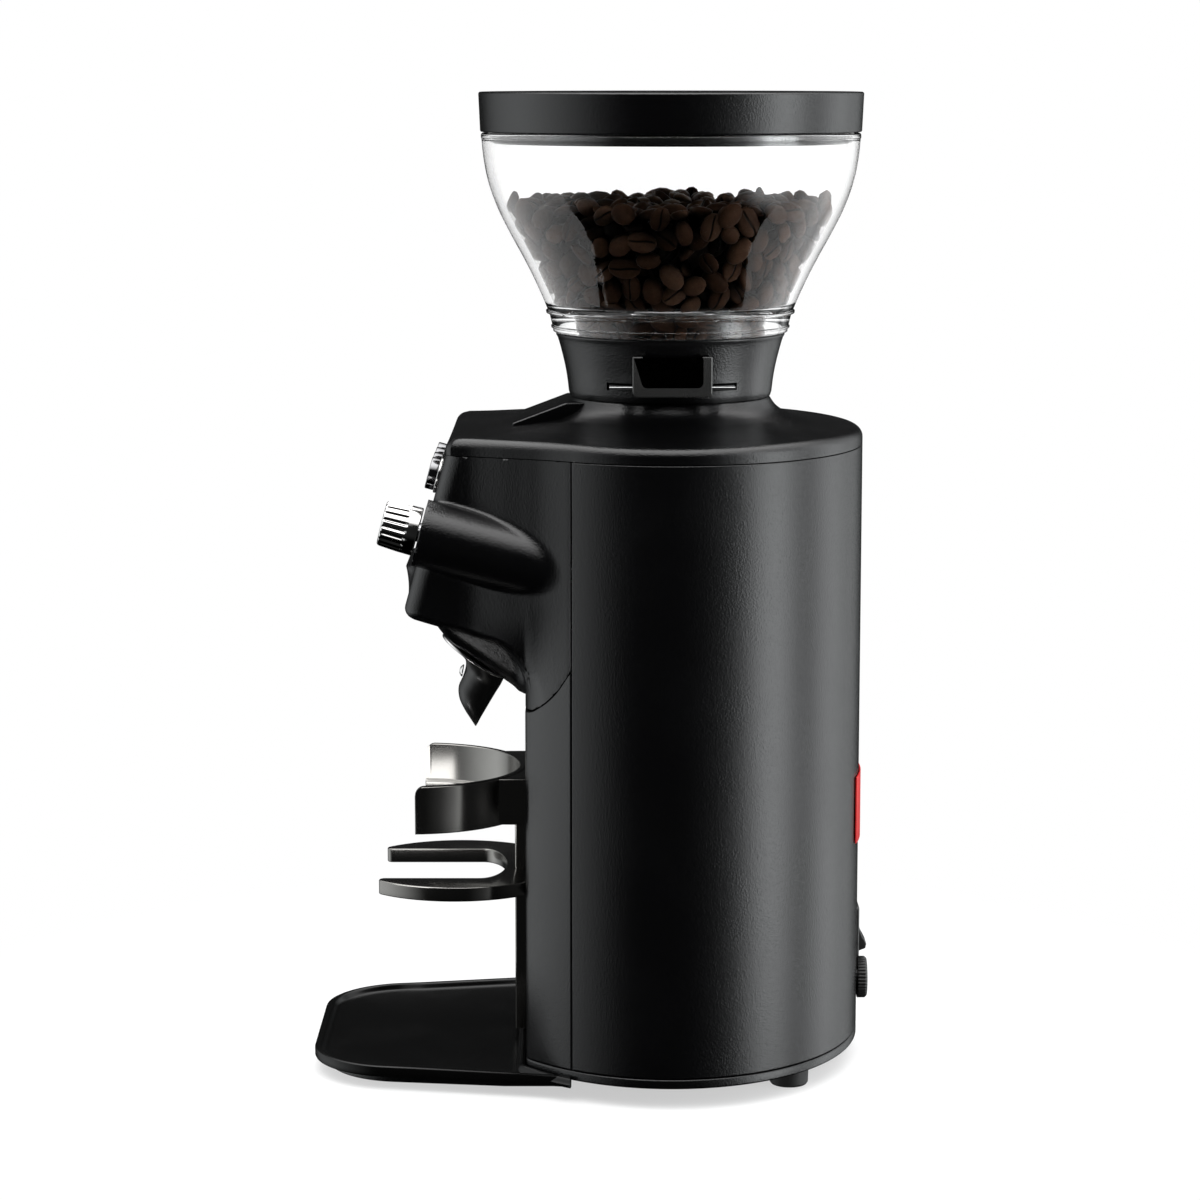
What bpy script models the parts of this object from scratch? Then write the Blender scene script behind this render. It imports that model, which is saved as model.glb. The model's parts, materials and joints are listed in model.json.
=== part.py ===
"""Home burr coffee grinder: an oval housing with a clear bean hopper on top, a
leaning head with a grind knob and four buttons, a spout, a portafilter cradle
and fork, and a tray in front.

Units are metres and +Z is up. The front of the grinder faces -Y. The origin is
the middle of the footprint on the counter; the motor, the burrs and the hopper
share one vertical axis, which the empty "burr_axis" marks. All outlines below
are measured from that axis.
"""
import bmesh
import bpy
import numpy as np
from math import asin, cos, pi, radians, sin, sqrt, tan
from mathutils import Matrix

mm = 0.001

# ---- driving dimensions --------------------------------------------------
GAP = 0.3 * mm                    # clearance between pieces that touch
AXIS_Y = 32.7 * mm                # burr axis, behind the middle of the footprint
WALL = 2.5 * mm                   # moulded housing wall

HALF_WIDTH = 94.6 * mm            # oval housing, half its width (X)
HALF_DEPTH = 81.8 * mm            # oval housing, half its depth (Y)
SEAM_Y = -41.4 * mm               # upright seam between rear shell and front covers
COLUMN_FRONT_Y = -60.7 * mm       # flat front of the lower column
BASE_LOW, BASE_HIGH = 8.3 * mm, 12.4 * mm
SHELL_LOW, SHELL_HIGH = 12.7 * mm, 265.5 * mm

TILT = radians(15.3)              # the head's front face leans out towards its foot
HEAD_TOP_FRONT_Y = -93.2 * mm
HEAD_FOOT = 150.0 * mm            # lowest level the head's blank reaches

COVER_LOW, COVER_RIM, NECK_TOP = 265.8 * mm, 272.7 * mm, 285.0 * mm
NECK_R, NECK_BORE_R = 42.4 * mm, 38.0 * mm

KNOB_AXIS = (63.1 * mm, -103.5 * mm, 234.6 * mm)    # middle of the boss's front face
KNOB_TURN = radians(75.0)         # turns +Z to the knob's axis, forward and up
BOSS_R, BOSS_LENGTH = 14.0 * mm, 62.0 * mm
SPINDLE_BORE_R = 6.5 * mm

SPOUT_SEAT = (-83.3 * mm, 173.6 * mm)               # Y, Z of the spout's flange
SPOUT_SLOPE = radians(34.9)

LID_LOW, LID_HIGH, LID_R = 396.0 * mm, 412.6 * mm, 80.9 * mm
BOWL_WALL = 3.2 * mm
THROAT_R = 24.0 * mm
SHUTTER_Z = 291.9 * mm
COLLAR_TOP = 312.0 * mm

MOTOR_R, MOTOR_LOW, MOTOR_HIGH = 45.0 * mm, 86.0 * mm, 175.7 * mm
SHAFT_R, BEARING_R = 5.0 * mm, 11.0 * mm
CHAMBER_R = 40.0 * mm
CHUTE_R, CHUTE_Z = 8.3 * mm, 192.6 * mm
BURR_R, BURR_BORE_R = 27.0 * mm, 14.0 * mm          # 54 mm flat burrs

RING_TEETH, RING_PITCH_R = 60, 56.0 * mm
WORM_STARTS = 2
WORM_LEAD_ANGLE = pi / 2 - KNOB_TURN

CRADLE_R, CRADLE_WALL = 48.4 * mm, 3.1 * mm
CRADLE_LOW, CRADLE_HIGH = 104.8 * mm, 125.2 * mm
RAIL_FRONT_Y, RAIL_HALF_WIDTH = -66.4 * mm, 11.0 * mm
RAIL_LOW, RAIL_HIGH = 10.3 * mm, 104.4 * mm
FORK_LOW, FORK_THICK, FORK_R = 75.2 * mm, 6.1 * mm, 45.5 * mm

TRAY_FRONT_Y = -151.8 * mm
TRAY_LOW, TRAY_HIGH = 5.2 * mm, 9.8 * mm
GLAND_Z, GLAND_REAR_Y = 30.6 * mm, 86.4 * mm
SWITCH_Z = 52.5 * mm

# ---- a clean scene with two collections and the burr axis -----------------
for old in list(bpy.data.objects):
    bpy.data.objects.remove(old, do_unlink=True)

PARTS = bpy.data.collections.new("burr_coffee_grinder")
CUTTERS = bpy.data.collections.new("cutters")
for folder in (PARTS, CUTTERS):
    bpy.context.scene.collection.children.link(folder)

BURR_AXIS = bpy.data.objects.new("burr_axis", None)
BURR_AXIS.location = (0, AXIS_Y, 0)
PARTS.objects.link(BURR_AXIS)


# ---- finishes: colour, roughness, metallic --------------------------------
FINISHES = {
    "textured_black": ((0.018, 0.018, 0.019), 0.42, 0.0),
    "satin_black": ((0.012, 0.012, 0.012), 0.30, 0.0),
    "dark_chrome": ((0.20, 0.195, 0.185), 0.16, 1.0),
    "bright_chrome": ((0.62, 0.61, 0.60), 0.08, 1.0),
    "clear_glass": ((0.95, 0.97, 0.97), 0.02, 0.0),
    "roasted_beans": ((0.085, 0.042, 0.025), 0.45, 0.0),
    "black_rubber": ((0.02, 0.02, 0.02), 0.8, 0.0),
    "steel": ((0.55, 0.55, 0.56), 0.28, 1.0),
    "aluminium": ((0.70, 0.70, 0.71), 0.35, 1.0),
    "motor_iron": ((0.20, 0.20, 0.21), 0.5, 1.0),
    "red_label": ((0.70, 0.02, 0.02), 0.35, 0.0),
    "circuit_green": ((0.02, 0.16, 0.07), 0.4, 0.0),
}


def finish(name):
    """The Principled material of that name, made on first use."""
    if name in bpy.data.materials:
        return bpy.data.materials[name]
    colour, roughness, metallic = FINISHES[name]
    made = bpy.data.materials.new(name)
    made.use_nodes = True
    shader = made.node_tree.nodes["Principled BSDF"]
    shader.inputs["Base Color"].default_value = (*colour, 1.0)
    shader.inputs["Roughness"].default_value = roughness
    shader.inputs["Metallic"].default_value = metallic
    if name == "clear_glass":
        shader.inputs["Transmission Weight"].default_value = 1.0
    return made


# ---- small modelling tools -------------------------------------------------
def add(name, mesh, finish_name=None, at=(0, 0, 0), turn=(0, 0, 0)):
    """Link a mesh as a part, or as a cutter when it has no finish."""
    thing = bpy.data.objects.new(name, mesh)
    thing.location = at
    thing.rotation_euler = turn
    thing.parent = BURR_AXIS
    if finish_name:
        mesh.materials.append(finish(finish_name))
        PARTS.objects.link(thing)
    else:
        thing.hide_render = True
        thing.display_type = "WIRE"
        CUTTERS.objects.link(thing)
    return thing


def smooth(mesh, sharp_degrees=35):
    mesh.shade_smooth()
    mesh.set_sharp_from_angle(angle=radians(sharp_degrees))


def combine(target, tool, operation="DIFFERENCE"):
    """Boolean of a part with a tool object."""
    step = target.modifiers.new(tool.name, "BOOLEAN")
    step.operation = operation
    step.solver = "EXACT"
    step.object = tool
    return target


def box(name, low, high, finish_name=None, turn=(0, 0, 0)):
    """An upright box between two corners; a turned one turns about its middle."""
    low, high = np.array(low, float), np.array(high, float)
    form = bmesh.new()
    bmesh.ops.create_cube(form, size=1.0, matrix=Matrix.Diagonal((*(high - low), 1.0)))
    mesh = bpy.data.meshes.new(name)
    form.to_mesh(mesh)
    form.free()
    return add(name, mesh, finish_name, (low + high) / 2, turn)


def rod(name, radius, length, finish_name=None, at=(0, 0, 0), turn=(0, 0, 0),
        end_radius=None, segments=32):
    """A cylinder or cone that starts at its origin and runs along its own +Z."""
    form = bmesh.new()
    bmesh.ops.create_cone(form, cap_ends=True, segments=segments, radius1=radius,
                          radius2=radius if end_radius is None else end_radius, depth=length,
                          matrix=Matrix.Translation((0, 0, length / 2)))
    mesh = bpy.data.meshes.new(name)
    form.to_mesh(mesh)
    form.free()
    smooth(mesh)
    return add(name, mesh, finish_name, at, turn)


def turned(name, profile, finish_name=None, at=(0, 0, 0), turn=(0, 0, 0), segments=32,
           closed=True):
    """Turn an (r, z) profile about Z. It runs down the outside, top to bottom;
    a closed profile is a ring, an open one starts and ends on the axis."""
    count = len(profile)
    edges = [(i, i + 1) for i in range(count - 1)] + ([(count - 1, 0)] if closed else [])
    mesh = bpy.data.meshes.new(name)
    mesh.from_pydata([(r, 0, z) for r, z in profile], edges, [])
    thing = add(name, mesh, finish_name, at, turn)
    lathe = thing.modifiers.new("lathe", "SCREW")
    lathe.steps = lathe.render_steps = segments
    lathe.use_merge_vertices = True
    lathe.merge_threshold = 1e-5
    lathe.use_smooth_shade = True
    return thing


def curve_mesh(name, curve):
    """A curve as a mesh, its caps welded and its faces pointing out."""
    drawn = bpy.data.objects.new(name, curve)
    bpy.context.scene.collection.objects.link(drawn)
    bpy.context.view_layer.update()
    mesh = bpy.data.meshes.new_from_object(drawn.evaluated_get(bpy.context.evaluated_depsgraph_get()))
    bpy.data.objects.remove(drawn)
    form = bmesh.new()
    form.from_mesh(mesh)
    bmesh.ops.remove_doubles(form, verts=form.verts, dist=1e-6)
    bmesh.ops.recalc_face_normals(form, faces=form.faces)
    form.to_mesh(mesh)
    form.free()
    mesh.name = name
    return mesh


def flat_mesh(name, outlines, thickness):
    """A flat outline, with any holes, as a 2D curve extruded from z = 0 up."""
    curve = bpy.data.curves.new(name, "CURVE")
    curve.dimensions = "2D"
    curve.fill_mode = "BOTH"
    curve.extrude = thickness / 2
    for outline in outlines:
        spline = curve.splines.new("POLY")
        spline.points.add(len(outline) - 1)
        for point, (x, y) in zip(spline.points, outline):
            point.co = (x, y, 0, 1)
        spline.use_cyclic_u = True
    mesh = curve_mesh(name, curve)
    mesh.transform(Matrix.Translation((0, 0, thickness / 2)))
    smooth(mesh)
    return mesh


def plate(name, outlines, low, high, finish_name=None):
    """Outlines in plan (x, y), standing between two heights."""
    return add(name, flat_mesh(name, outlines, high - low), finish_name, (0, 0, low))


def side_plate(name, outline, half_width, finish_name=None, x=0.0):
    """An outline in side view (y, z), as thick as the half width on each side of x."""
    mesh = flat_mesh(name, [outline], 2 * half_width)
    return add(name, mesh, finish_name, (x - half_width, 0, 0), (pi / 2, 0, pi / 2))


def tube(name, route, radius, finish_name=None):
    """A round bar along a route of (y, z) points on the middle plane."""
    curve = bpy.data.curves.new(name, "CURVE")
    curve.dimensions = "3D"
    curve.bevel_depth, curve.bevel_resolution = radius, 3
    curve.use_fill_caps = True
    spline = curve.splines.new("POLY")
    spline.points.add(len(route) - 1)
    for point, (y, z) in zip(spline.points, route):
        point.co = (0, y, z, 1)
    return add(name, curve_mesh(name, curve), finish_name)


def loft(name, rings, finish_name=None, around=False):
    """Skin through rings of equal point count; ends are capped, or the last ring
    joins the first when the skin goes around."""
    rings = [[tuple(point) for point in ring] for ring in rings]
    count, total = len(rings[0]), len(rings)
    points = [point for ring in rings for point in ring]
    faces = []
    for level in range(total if around else total - 1):
        lower, upper = level * count, ((level + 1) % total) * count
        for i in range(count):
            j = (i + 1) % count
            faces.append((lower + i, lower + j, upper + j, upper + i))
    if not around:
        faces.append(tuple(range(count)))
        faces.append(tuple(range((total - 1) * count, total * count)))
    mesh = bpy.data.meshes.new(name)
    mesh.from_pydata(points, [], faces)
    form = bmesh.new()
    form.from_mesh(mesh)
    bmesh.ops.recalc_face_normals(form, faces=form.faces)
    form.to_mesh(mesh)
    form.free()
    smooth(mesh)
    return add(name, mesh, finish_name)


# ---- outlines -----------------------------------------------------------------
def rounded(corners, steps=6):
    """Corners (x, y, radius) as an outline, each radius drawn as an arc."""
    outline = []
    for i, (x, y, radius) in enumerate(corners):
        here = np.array((x, y))
        if radius == 0:
            outline.append((x, y))
            continue
        before = np.array(corners[i - 1][:2]) - here
        after = np.array(corners[(i + 1) % len(corners)][:2]) - here
        before, after = before / np.linalg.norm(before), after / np.linalg.norm(after)
        half = np.arccos(np.clip(before @ after, -1, 1)) / 2
        middle = here + (before + after) / np.linalg.norm(before + after) * radius / sin(half)
        start = here + before * radius / tan(half) - middle
        end = here + after * radius / tan(half) - middle
        sweep = pi - 2 * half
        for k in range(steps + 1):
            share = k / steps
            arm = (sin((1 - share) * sweep) * start + sin(share * sweep) * end) / sin(sweep)
            outline.append(tuple(middle + arm))
    return outline


def mirrored(right):
    """A path on the right half, with its mirror image appended in order."""
    return list(right) + [(-x, y) for x, y in reversed(right)]


def inset_path(path, distance):
    """An open path moved inwards (to the left of its direction), mitred."""
    points = np.array(path)
    steps = np.diff(points, axis=0)
    normals = np.stack([-steps[:, 1], steps[:, 0]], 1) / np.linalg.norm(steps, axis=1)[:, None]
    first, last = normals[:1], normals[-1:]
    joined = np.concatenate([first, normals]) + np.concatenate([normals, last])
    joined /= np.linalg.norm(joined, axis=1)[:, None]
    stretch = (joined * np.concatenate([first, normals])).sum(1)
    return [tuple(p) for p in points + joined * (distance / stretch)[:, None]]


def opened_back(path, y):
    """A left-to-right path with both ends run straight back to y."""
    return [(path[0][0], y)] + list(path) + [(path[-1][0], y)]


def circle(radius, count=32, centre=(0, 0)):
    return [(centre[0] + radius * cos(2 * pi * i / count), centre[1] + radius * sin(2 * pi * i / count))
            for i in range(count)]


def oval(angle, inset=0.0):
    return (HALF_WIDTH - inset) * cos(angle), (HALF_DEPTH - inset) * sin(angle)


def rear_arc(inset, seam_y, count=48):
    """The oval from the right-hand seam round the back to the left-hand seam."""
    start = asin(seam_y / (HALF_DEPTH - inset))
    return [oval(t, inset) for t in np.linspace(start, pi - start, count)]


def column_path(inset=0.0, seam_y=SEAM_Y - GAP):
    """The lower column in plan: from the left seam round the flat front to the right."""
    depth, front = HALF_DEPTH - inset, COLUMN_FRONT_Y + inset
    side = [(*oval(t, inset), 0) for t in np.linspace(asin(seam_y / depth), asin(front / depth), 6)]
    side[-1] = (*side[-1][:2], 9 * mm - inset)
    arc_only = rounded(side + [(0, front, 0)], steps=5)[:-1]
    return [(-x, y) for x, y in arc_only] + list(reversed(arc_only))


def head_front_y(z):
    return HEAD_TOP_FRONT_Y - (SHELL_HIGH - z) * tan(TILT)


def head_path(front_y, seam_y=SEAM_Y - GAP):
    """The head in plan: tapering sides and a rounded front at front_y."""
    seam_x = oval(asin(seam_y / HALF_DEPTH))[0]
    cheek_x, cheek_y = 60.6 * mm, -86.0 * mm
    front_x = cheek_x - (cheek_y - front_y) * 0.12
    side = [(seam_x, seam_y, 0), (74.6 * mm, -52 * mm, 0), (67.6 * mm, -69 * mm, 0),
            (62.6 * mm, -80 * mm, 0), (front_x, front_y, 7 * mm)]
    right = rounded(side + [(0, front_y, 0)], steps=5)[:-1]
    return [(-x, y) for x, y in right] + list(reversed(right))


def at_height(outline, z):
    return [(x, y, z) for x, y in outline]


def radial(outline, count=72):
    """The outline read at even angles about the burr axis."""
    points = np.array(outline)
    ends = np.roll(points, -1, axis=0)
    found = []
    for angle in np.arange(count) * 2 * pi / count:
        ray = np.array((cos(angle), sin(angle)))
        best = 0.0
        for a, b in zip(points, ends):
            edge = b - a
            cross = ray[0] * edge[1] - ray[1] * edge[0]
            if abs(cross) < 1e-12:
                continue
            reach = (a[0] * edge[1] - a[1] * edge[0]) / cross
            along = (a[0] * ray[1] - a[1] * ray[0]) / cross
            if reach > 0 and -1e-9 <= along <= 1 + 1e-9:
                best = max(best, reach)
        found.append(tuple(ray * best))
    return found


# ---- housing -------------------------------------------------------------------
def make_base():
    """Base plate, the front support under the tray, and the rubber feet."""
    outline = rear_arc(0, SEAM_Y) + column_path(seam_y=SEAM_Y)[1:-1]
    plate("base_plate", [outline], BASE_LOW, BASE_HIGH, "textured_black")

    front = TRAY_FRONT_Y + 5.7 * mm
    half = rounded([(66 * mm, -45 * mm, 0), (66 * mm, -70 * mm, 0), (56 * mm, front, 34 * mm),
                    (0, front, 0)], steps=7)[:-1]
    foot = plate("tray_support", [mirrored(half)], 1 * mm, TRAY_LOW - GAP, "textured_black")
    riser = box("riser", (-50 * mm, -57 * mm, 3 * mm), (50 * mm, -46 * mm, BASE_LOW - GAP))
    combine(foot, riser, "UNION")

    spots = [(57 * mm, 49.7 * mm, BASE_LOW - GAP), (-57 * mm, 49.7 * mm, BASE_LOW - GAP),
             (42 * mm, -112 * mm, 1 * mm - GAP), (-42 * mm, -112 * mm, 1 * mm - GAP)]
    for number, (x, y, top) in enumerate(spots, 1):
        rod(f"rubber_foot_{number}", 8 * mm, top, "black_rubber", (x, y, 0),
            end_radius=8.6 * mm, segments=16)


def make_rear_shell():
    """Wrap-round rear shell, open at the front, with the switch and gland holes."""
    outline = rear_arc(0, SEAM_Y) + list(reversed(rear_arc(WALL, SEAM_Y)))
    shell = plate("rear_shell", [outline], SHELL_LOW, SHELL_HIGH, "textured_black")
    window = box("switch_window", (-8.6 * mm, 70 * mm, 41 * mm), (8.6 * mm, 95 * mm, 64 * mm))
    hole = rod("gland_hole", 6.6 * mm, 30 * mm, at=(0, 70 * mm, GLAND_Z), turn=(-pi / 2, 0, 0))
    combine(shell, window)
    combine(shell, hole)


def seam_side_view(lift):
    """The curved seam between head and column, from the front face to the upright seam."""
    knots = [(-75, 160.2), (-60.7, 160.2), (-55, 163), (-48, 170), (-41.4, 180.3), (-30, 180.3)]
    return [(y * mm, z * mm + lift) for y, z in knots]


def make_column_panel():
    """Lower front panel: a U in plan, cut along the curved seam below the head."""
    outline = column_path() + list(reversed(column_path(WALL)))
    panel = plate("column_panel", [outline], SHELL_LOW, 200 * mm, "textured_black")
    above = seam_side_view(-GAP / 2) + [(-30 * mm, 220 * mm), (-75 * mm, 220 * mm)]
    combine(panel, side_plate("above_seam", above, 100 * mm))


def make_head_cover():
    """Leaning head: hollow, with the neck down to the column, the spout's throat
    and the boss for the grind knob."""
    levels = (HEAD_FOOT, SHELL_HIGH)
    paths = [head_path(head_front_y(z)) for z in levels]
    cover = loft("head_cover", [at_height(p, z) for p, z in zip(paths, levels)], "textured_black")

    underside = [(-86.5, 192), (-75.9, 188.5), (-68.7, 186.7), (-63.3, 183.8), (-60.3, 178.5),
                 (-57, 174), (-52, 172), (-47.5, 172.8), (-41.4, 181.8), (-35, 181.8)]
    underside = [(y * mm, z * mm) for y, z in underside]
    chin_z, top = 197.2 * mm, 300 * mm
    outer_side = rounded([(head_front_y(top), top, 0), (head_front_y(chin_z), chin_z, 4.5 * mm)]
                         + [(y, z, 0) for y, z in underside] + [(-35 * mm, top, 0)])
    combine(cover, side_plate("head_side", outer_side, 100 * mm), "INTERSECT")

    neck = plate("head_neck", [column_path()], HEAD_FOOT, 195 * mm)
    below = seam_side_view(GAP / 2) + [(-30 * mm, 120 * mm), (-75 * mm, 120 * mm)]
    combine(neck, side_plate("below_seam", below, 120 * mm))
    combine(cover, neck, "UNION")

    hollow_top = SHELL_HIGH + 5 * mm
    rings = []
    for z in (HEAD_FOOT - 5 * mm, hollow_top):
        inner = inset_path(head_path(head_front_y(z)), WALL)
        rings.append(at_height(opened_back(inner, -30 * mm), z))
    hollow = loft("head_hollow", rings)
    inner_side = [(-140 * mm, 320 * mm), (-140 * mm, 202 * mm)]
    inner_side += [(y, z + WALL) for y, z in underside[:4]] + [(-57.5 * mm, 181 * mm)]
    inner_side += [(-20 * mm, 181 * mm), (-20 * mm, 320 * mm)]
    combine(hollow, side_plate("hollow_side", inner_side, 110 * mm), "INTERSECT")
    combine(cover, hollow)
    inner_neck = opened_back(column_path(WALL), -30 * mm)
    combine(cover, plate("neck_hollow", [inner_neck], 140 * mm, 190 * mm))

    wide, narrow = 36 * mm, 21 * mm
    upper = [(wide, -104 * mm), (wide, -59 * mm), (-wide, -59 * mm), (-wide, -104 * mm)]
    slope = [(narrow, -97.5 * mm, 183.4 * mm), (narrow, -59 * mm, 157.4 * mm + GAP),
             (-narrow, -59 * mm, 157.4 * mm + GAP), (-narrow, -97.5 * mm, 183.4 * mm)]
    throat = loft("spout_throat", [slope, at_height(upper, 199 * mm)])
    combine(throat, side_plate("throat_seam", below, 130 * mm))
    combine(cover, throat, "UNION")
    x, y, z = KNOB_AXIS
    boss = rod("knob_boss", BOSS_R, BOSS_LENGTH, at=(x, y, z), turn=(KNOB_TURN - pi, 0, 0))
    combine(cover, boss, "UNION")
    ahead = 10 * mm
    combine(cover, rod("spindle_bore", SPINDLE_BORE_R, BOSS_LENGTH + 30 * mm, turn=(KNOB_TURN - pi, 0, 0),
                       at=(x, y - ahead, z + ahead / tan(KNOB_TURN)), segments=24))
    y, z = SPOUT_SEAT
    reach = 10 * mm
    combine(cover, rod("throat_bore", 9.5 * mm, 22 * mm, turn=(pi - SPOUT_SLOPE, 0, 0), segments=24,
                       at=(0, y + reach * sin(SPOUT_SLOPE), z + reach * cos(SPOUT_SLOPE))))
    combine(cover, tube("chute_clearance", chute_route(), CHUTE_R + 2 * GAP))


def make_top_cover():
    """Crowned top cover: the housing's outline below, a round neck for the hopper."""
    outline = rear_arc(0, SEAM_Y, 60) + head_path(HEAD_TOP_FRONT_Y, SEAM_Y)[1:-1]
    edge = np.array(radial(outline))
    unit = edge / np.linalg.norm(edge, axis=1)[:, None]

    def ring(inset, z):
        return at_height(edge - unit * inset, z)

    def hoop(radius, z):
        return at_height(unit * radius, z)

    rings = [ring(0, COVER_LOW), ring(0, 268.4 * mm), ring(1.4 * mm, 271.2 * mm), ring(4.5 * mm, COVER_RIM),
             hoop(60 * mm, 275.6 * mm), hoop(49 * mm, 278.4 * mm), hoop(44.2 * mm, 280.6 * mm),
             hoop(NECK_R, NECK_TOP), hoop(NECK_BORE_R, NECK_TOP), hoop(NECK_BORE_R, 275 * mm),
             hoop(60 * mm, 272.6 * mm), ring(7 * mm, 269.8 * mm), ring(WALL, 267.6 * mm),
             ring(WALL, COVER_LOW)]
    cover = loft("top_cover", rings, "textured_black", around=True)
    ramp = [(-66.2, 273), (-66.2, 274.9), (-44, 284), (-39, 284), (-39, 276.5), (-50, 273.6)]
    combine(cover, side_plate("badge_ramp", [(y * mm, z * mm) for y, z in ramp], 23 * mm), "UNION")


def chute_route(margin=0.0):
    """From the burr chamber straight forward, then a bend down onto the spout's axis."""
    bend_r, bend = 18 * mm, pi / 2 - SPOUT_SLOPE
    seat_y, seat_z = SPOUT_SEAT
    end_z = CHUTE_Z - bend_r * (1 - cos(bend))
    end_y = seat_y + (end_z - seat_z) * tan(SPOUT_SLOPE)
    start_y = end_y + bend_r * sin(bend)
    route = [(-CHAMBER_R - 0.8 * mm + margin, CHUTE_Z)]
    route += [(start_y - bend_r * sin(t), CHUTE_Z - bend_r * (1 - cos(t))) for t in np.linspace(0, bend, 7)]
    last = 5 * mm + margin
    return route + [(end_y - last * sin(SPOUT_SLOPE), end_z - last * cos(SPOUT_SLOPE))]


# ---- drive: motor, burrs, grind adjustment ---------------------------------------
def make_motor():
    """Chassis plate with the motor hanging under it, on the burr axis."""
    outline = rear_arc(WALL + 1 * mm, SEAM_Y, 40) + column_path(WALL + 1 * mm, SEAM_Y)[1:-1]
    plate("chassis_plate", [outline, circle(BEARING_R)], 176 * mm, 180 * mm, "aluminium")
    wall = 2 * mm
    turned("motor_housing", [(MOTOR_R, MOTOR_HIGH), (MOTOR_R, MOTOR_LOW), (BEARING_R, MOTOR_LOW),
                             (BEARING_R, MOTOR_LOW + 3 * mm), (MOTOR_R - wall, MOTOR_LOW + 3 * mm),
                             (MOTOR_R - wall, MOTOR_HIGH)], "motor_iron")
    turned("stator_core", [(42.6 * mm, 160 * mm), (42.6 * mm, 102 * mm), (27.8 * mm, 102 * mm),
                           (27.8 * mm, 160 * mm)], "motor_iron")
    turned("motor_rotor", [(27 * mm, 158 * mm), (27 * mm, 104 * mm), (SHAFT_R + GAP, 104 * mm),
                           (SHAFT_R + GAP, 158 * mm)], "motor_iron", segments=32)
    rod("motor_shaft", SHAFT_R, 138 * mm, "steel", (0, 0, 66 * mm), segments=24)
    for name, low in (("lower_bearing", MOTOR_LOW), ("upper_bearing", 174.7 * mm)):
        outer, inner, high = BEARING_R - GAP, SHAFT_R + GAP, low + 6 * mm
        turned(name, [(outer, high), (outer, low), (inner, low), (inner, high)], "steel", segments=16)
    fan = rod("cooling_fan", 10 * mm, 10 * mm, "satin_black", (0, 0, 71 * mm), segments=24)
    for blade in range(7):
        angle = blade * 2 * pi / 7
        vane = box(f"fan_blade_{blade}", (-15 * mm, -0.9 * mm, 0), (15 * mm, 0.9 * mm, 8 * mm))
        vane.location = (23 * mm * cos(angle), 23 * mm * sin(angle), 76 * mm)
        vane.rotation_euler = (radians(32), 0, angle)
        combine(fan, vane, "UNION")
    combine(fan, rod("fan_bore", SHAFT_R + GAP, 20 * mm, at=(0, 0, 66 * mm), segments=24))


def make_burrs():
    """Burr chamber, the driven lower burr and the adjustable upper burr."""
    inner, floor_low, floor_high = CHAMBER_R - 4 * mm, 181 * mm, 184 * mm
    chamber = turned("burr_chamber", [(CHAMBER_R, 213 * mm), (CHAMBER_R, 180.3 * mm), (inner, 180.3 * mm),
                                      (inner, floor_low), (10 * mm, floor_low), (10 * mm, floor_high),
                                      (inner, floor_high), (inner, 213 * mm)], "aluminium")
    combine(chamber, box("chamber_outlet", (-7 * mm, -44 * mm, CHUTE_Z - 7 * mm),
                         (7 * mm, -33 * mm, CHUTE_Z + 7 * mm)))
    bore = SHAFT_R + GAP
    turned("lower_burr_carrier", [(30 * mm, 200.9 * mm), (30 * mm, 196 * mm), (9 * mm, 195 * mm),
                                  (9 * mm, 184.6 * mm), (bore, 184.6 * mm), (bore, 200.9 * mm)], "steel")
    for name, low in (("lower_burr", 201.2 * mm), ("upper_burr", 207.7 * mm)):
        high = low + 6 * mm
        turned(name, [(BURR_R, high), (BURR_R, low), (BURR_BORE_R, low), (BURR_BORE_R, high)], "steel")
    turned("upper_burr_carrier", [(22 * mm, 226 * mm), (22 * mm, 218 * mm), (49 * mm, 218 * mm),
                                  (49 * mm, 214.1 * mm), (16 * mm, 214.1 * mm), (16 * mm, 226 * mm)],
           "aluminium")
    turned("feed_throat", [(35 * mm, 275.4 * mm), (35 * mm, 272.4 * mm), (27 * mm, 272.4 * mm),
                           (27 * mm, 226.6 * mm), (THROAT_R, 226.6 * mm), (THROAT_R, 275.4 * mm)],
           "satin_black")
    chute = tube("grounds_chute", chute_route(), CHUTE_R, "satin_black")
    combine(chute, tube("chute_bore", chute_route(2 * mm), CHUTE_R - 1.4 * mm))


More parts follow.
